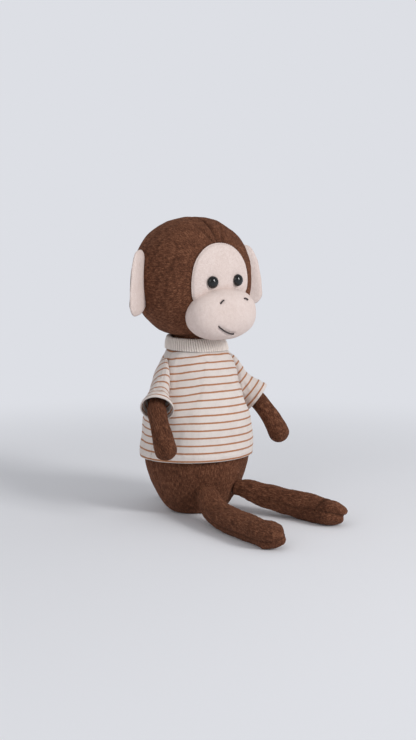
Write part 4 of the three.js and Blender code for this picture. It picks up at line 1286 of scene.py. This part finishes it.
def filling_place(facing, leg):
    """The stuffing follows both panels, a little behind them."""
    top, sole = [leg_place(facing, leg, top, FILLING_BEHIND) for top in (True, False)]
    return lambda u, v: top(2 * u, v) if u < 0.5 else sole(2 * u - 1, v)


# Painted shade in the grooves of the leg's seams, weaker on the inner side until the toe, and along the seam
# over the left foot
def leg_seam_shade(leg, facing, top):
    def near(u, v):
        share = leg.share(tip_spread(v))
        swing, inner = across_panel(u, top)
        strength = 0.3 + 0.7 * smooth(share, 0.78, 0.9) if inner else 0.8
        seam = min(swing, 1 - swing) * math.pi * LEG_RADIUS * leg.closing(share)
        arc = bell(ankle_arc(share, math.pi * swing, leg.length), 0.9) if facing > 0 and top else 0.0
        return max(strength * bell(seam, 1), 0.9 * arc)
    return near


for side, facing in SIDES:
    places = [(HIP.x + (TOE_SIDE - HIP.x) * o, HIP.y + (-LEG_REACH[side] - HIP.y) * f,
               TOE_HEIGHT + (HIP.z - TOE_HEIGHT) * h) for (o, f), h in zip(LEG_SHARES, LEG_HEIGHTS[side])]
    fuller, tip = LEG_BUILD[side]
    leg = Limb(places, [(s, w, k * (fuller if 0.2 < s < 0.7 else 1)) for s, w, k in LEG_SECTIONS], LEG_RADIUS,
               (0, 0, 1), 5, tip=tip)
    pieces = []
    for word, top in (("top", True), ("sole", False)):
        cloth = panel(f"leg_{word}_plush_{side}", (60, 170), leg_place(facing, leg, top), (30, 105), wall=1.0,
                      lumps=0.6, pile=0.16, floor=0.05, seams=leg_seam_shade(leg, facing, top),
                      cloth=(0.03, 0.5, 0.9))
        dress(cloth, "brown_plush", None, f"leg_{word}_panel_{side}", fill=0.9)
        pieces.append(cloth)
    pieces.append(stuffing_of(f"leg_fibre_{side}", filling_place(facing, leg), f"leg_filling_{side}"))
    hip, way = mirrored(HIP, facing) * MM, mirrored(HIP_WAY, facing)
    for piece in pieces:
        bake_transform(piece)

# %% [markdown]
# ## Tail
# A slim tail is sewn to the back and curls along the floor to the toy's left side. It doesn't show from the
# front.

# %% Tail
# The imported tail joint's place, then steps outward, backward and down from it
TAIL_ROOT = Vector((0, 33.462, 19.778))
TAIL_RADIUS = 4.8
TAIL_STEPS = [(0, 0, 0), (1, 8, 3), (8, 14, 10), (23, 13, 15.9), (39, 4, 16.2), (50, -8, 16.2)]
TAIL_SECTIONS = [(0, 0.5), (0.03, 0.6), (0.12, 0.8), (0.3, 1), (0.6, 1), (0.85, 1), (1, 0.97)]
tail_limb = Limb([TAIL_ROOT + Vector((o, b, -d)) for o, b, d in TAIL_STEPS],
                 [(s, w, w) for s, w in TAIL_SECTIONS], TAIL_RADIUS, (0, 0, 1), 4)
tail_place, tail_inside = tube(tail_limb, TAIL_RADIUS, 1, seam_width=1.0, seam_depth=0.6)
tail = panel("tail_plush", (48, 110), tail_place, (30, 80), lumps=0.3, floor=0.05)
dress(tail, "brown_plush", None, "tail_skin", fill=0.85)
for piece in (tail, stuffing_of("tail_fibre", tail_inside, "tail_filling")):
    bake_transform(piece)

# %% [markdown]
# ## Floor and light
# The toy sits on a plain pale floor. The floor fades into the same pale colour as the world far from the toy,
# so that no edge shows. The light is a large soft lamp in front and above, a weaker one at the other side, a
# small low one that lifts the underside of the muzzle and the legs, and an even pale sky, at a level at which
# a colour renders about as it is written.

# %% Stage
BACKDROP, SKY, SKY_STRENGTH = "#DDDFE5", "#F4F5F8", 0.53
FLOOR_RADIUS, FADE_START, FADE_END = 6000, 0.2, 0.7

paper, place = new_material("pale_paper_floor")
far = node(paper, "VectorMath", "LENGTH", place).outputs["Value"]
fade = node(paper, "MapRange", {"interpolation_type": "SMOOTHSTEP"}, far, FADE_START, FADE_END)
sheet = node(paper, "BsdfPrincipled", Base_Color=linear("#F1F2F6"), Roughness=0.9, IOR=1.45)
glow = node(paper, "Emission", Color=linear(BACKDROP), Strength=1.0)
node(paper, "OutputMaterial", Surface=node(paper, "MixShader", None, fade, sheet, glow))

floor_bm = bmesh.new()
bmesh.ops.create_circle(floor_bm, cap_ends=True, segments=96, radius=FLOOR_RADIUS)
floor = piece_from(floor_bm, "floor")
floor.data.materials.append(paper)
floor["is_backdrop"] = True

# The sky lights the toy, but the eye sees the backdrop's colour in its place
world = bpy.data.worlds.new("pale_world")
bpy.context.scene.world = world
world.use_nodes = True
world.node_tree.nodes.clear()
sky = node(world, "Background", Color=linear(SKY), Strength=SKY_STRENGTH)
seen = node(world, "Background", Color=linear(BACKDROP))
rays = node(world, "LightPath").outputs
either = node(world, "Math", "MAXIMUM", rays["Is Camera Ray"], rays["Is Transmission Ray"])
node(world, "OutputWorld", Surface=node(world, "MixShader", None, either, sky, seen))

# Each lamp's name, place, the place it is aimed at, width (all in metres) and power in watts
for name, place, aim, size, power in (("key_lamp", (0.5, -2.8, 1.6), (0, 0, 0.1), 1.0, 39),
                                      ("fill_lamp", (-2.8, -1.0, 1.6), (0, 0, 0.1), 2.2, 12),
                                      ("low_lamp", (0.2, -0.8, 0.32), (0, -0.1, 0.0), 0.3, 1.0)):
    light = bpy.data.lights.new(name, "AREA")
    light.shape, light.size, light.energy = "DISK", size, power
    lamp = add_object(name, light)
    lamp.location = place
    lamp.rotation_euler = (Vector(aim) - Vector(place)).to_track_quat("-Z", "Y").to_euler()
print("the floor fades out from", FADE_START, "to", FADE_END, "m from the toy")

# %% [markdown]
# ## Sizes
# Both boxes, of the imported toy and of the dressed one, are printed. The dressed toy may stand only a little
# proud of the imported one.

# %% Sizes
dressed_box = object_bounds()
for word, box in (("packed", cad_box), ("dressed", dressed_box)):
    print(word, "box in mm:", [round((b - a) / MM, 1) for a, b in zip(*box)])
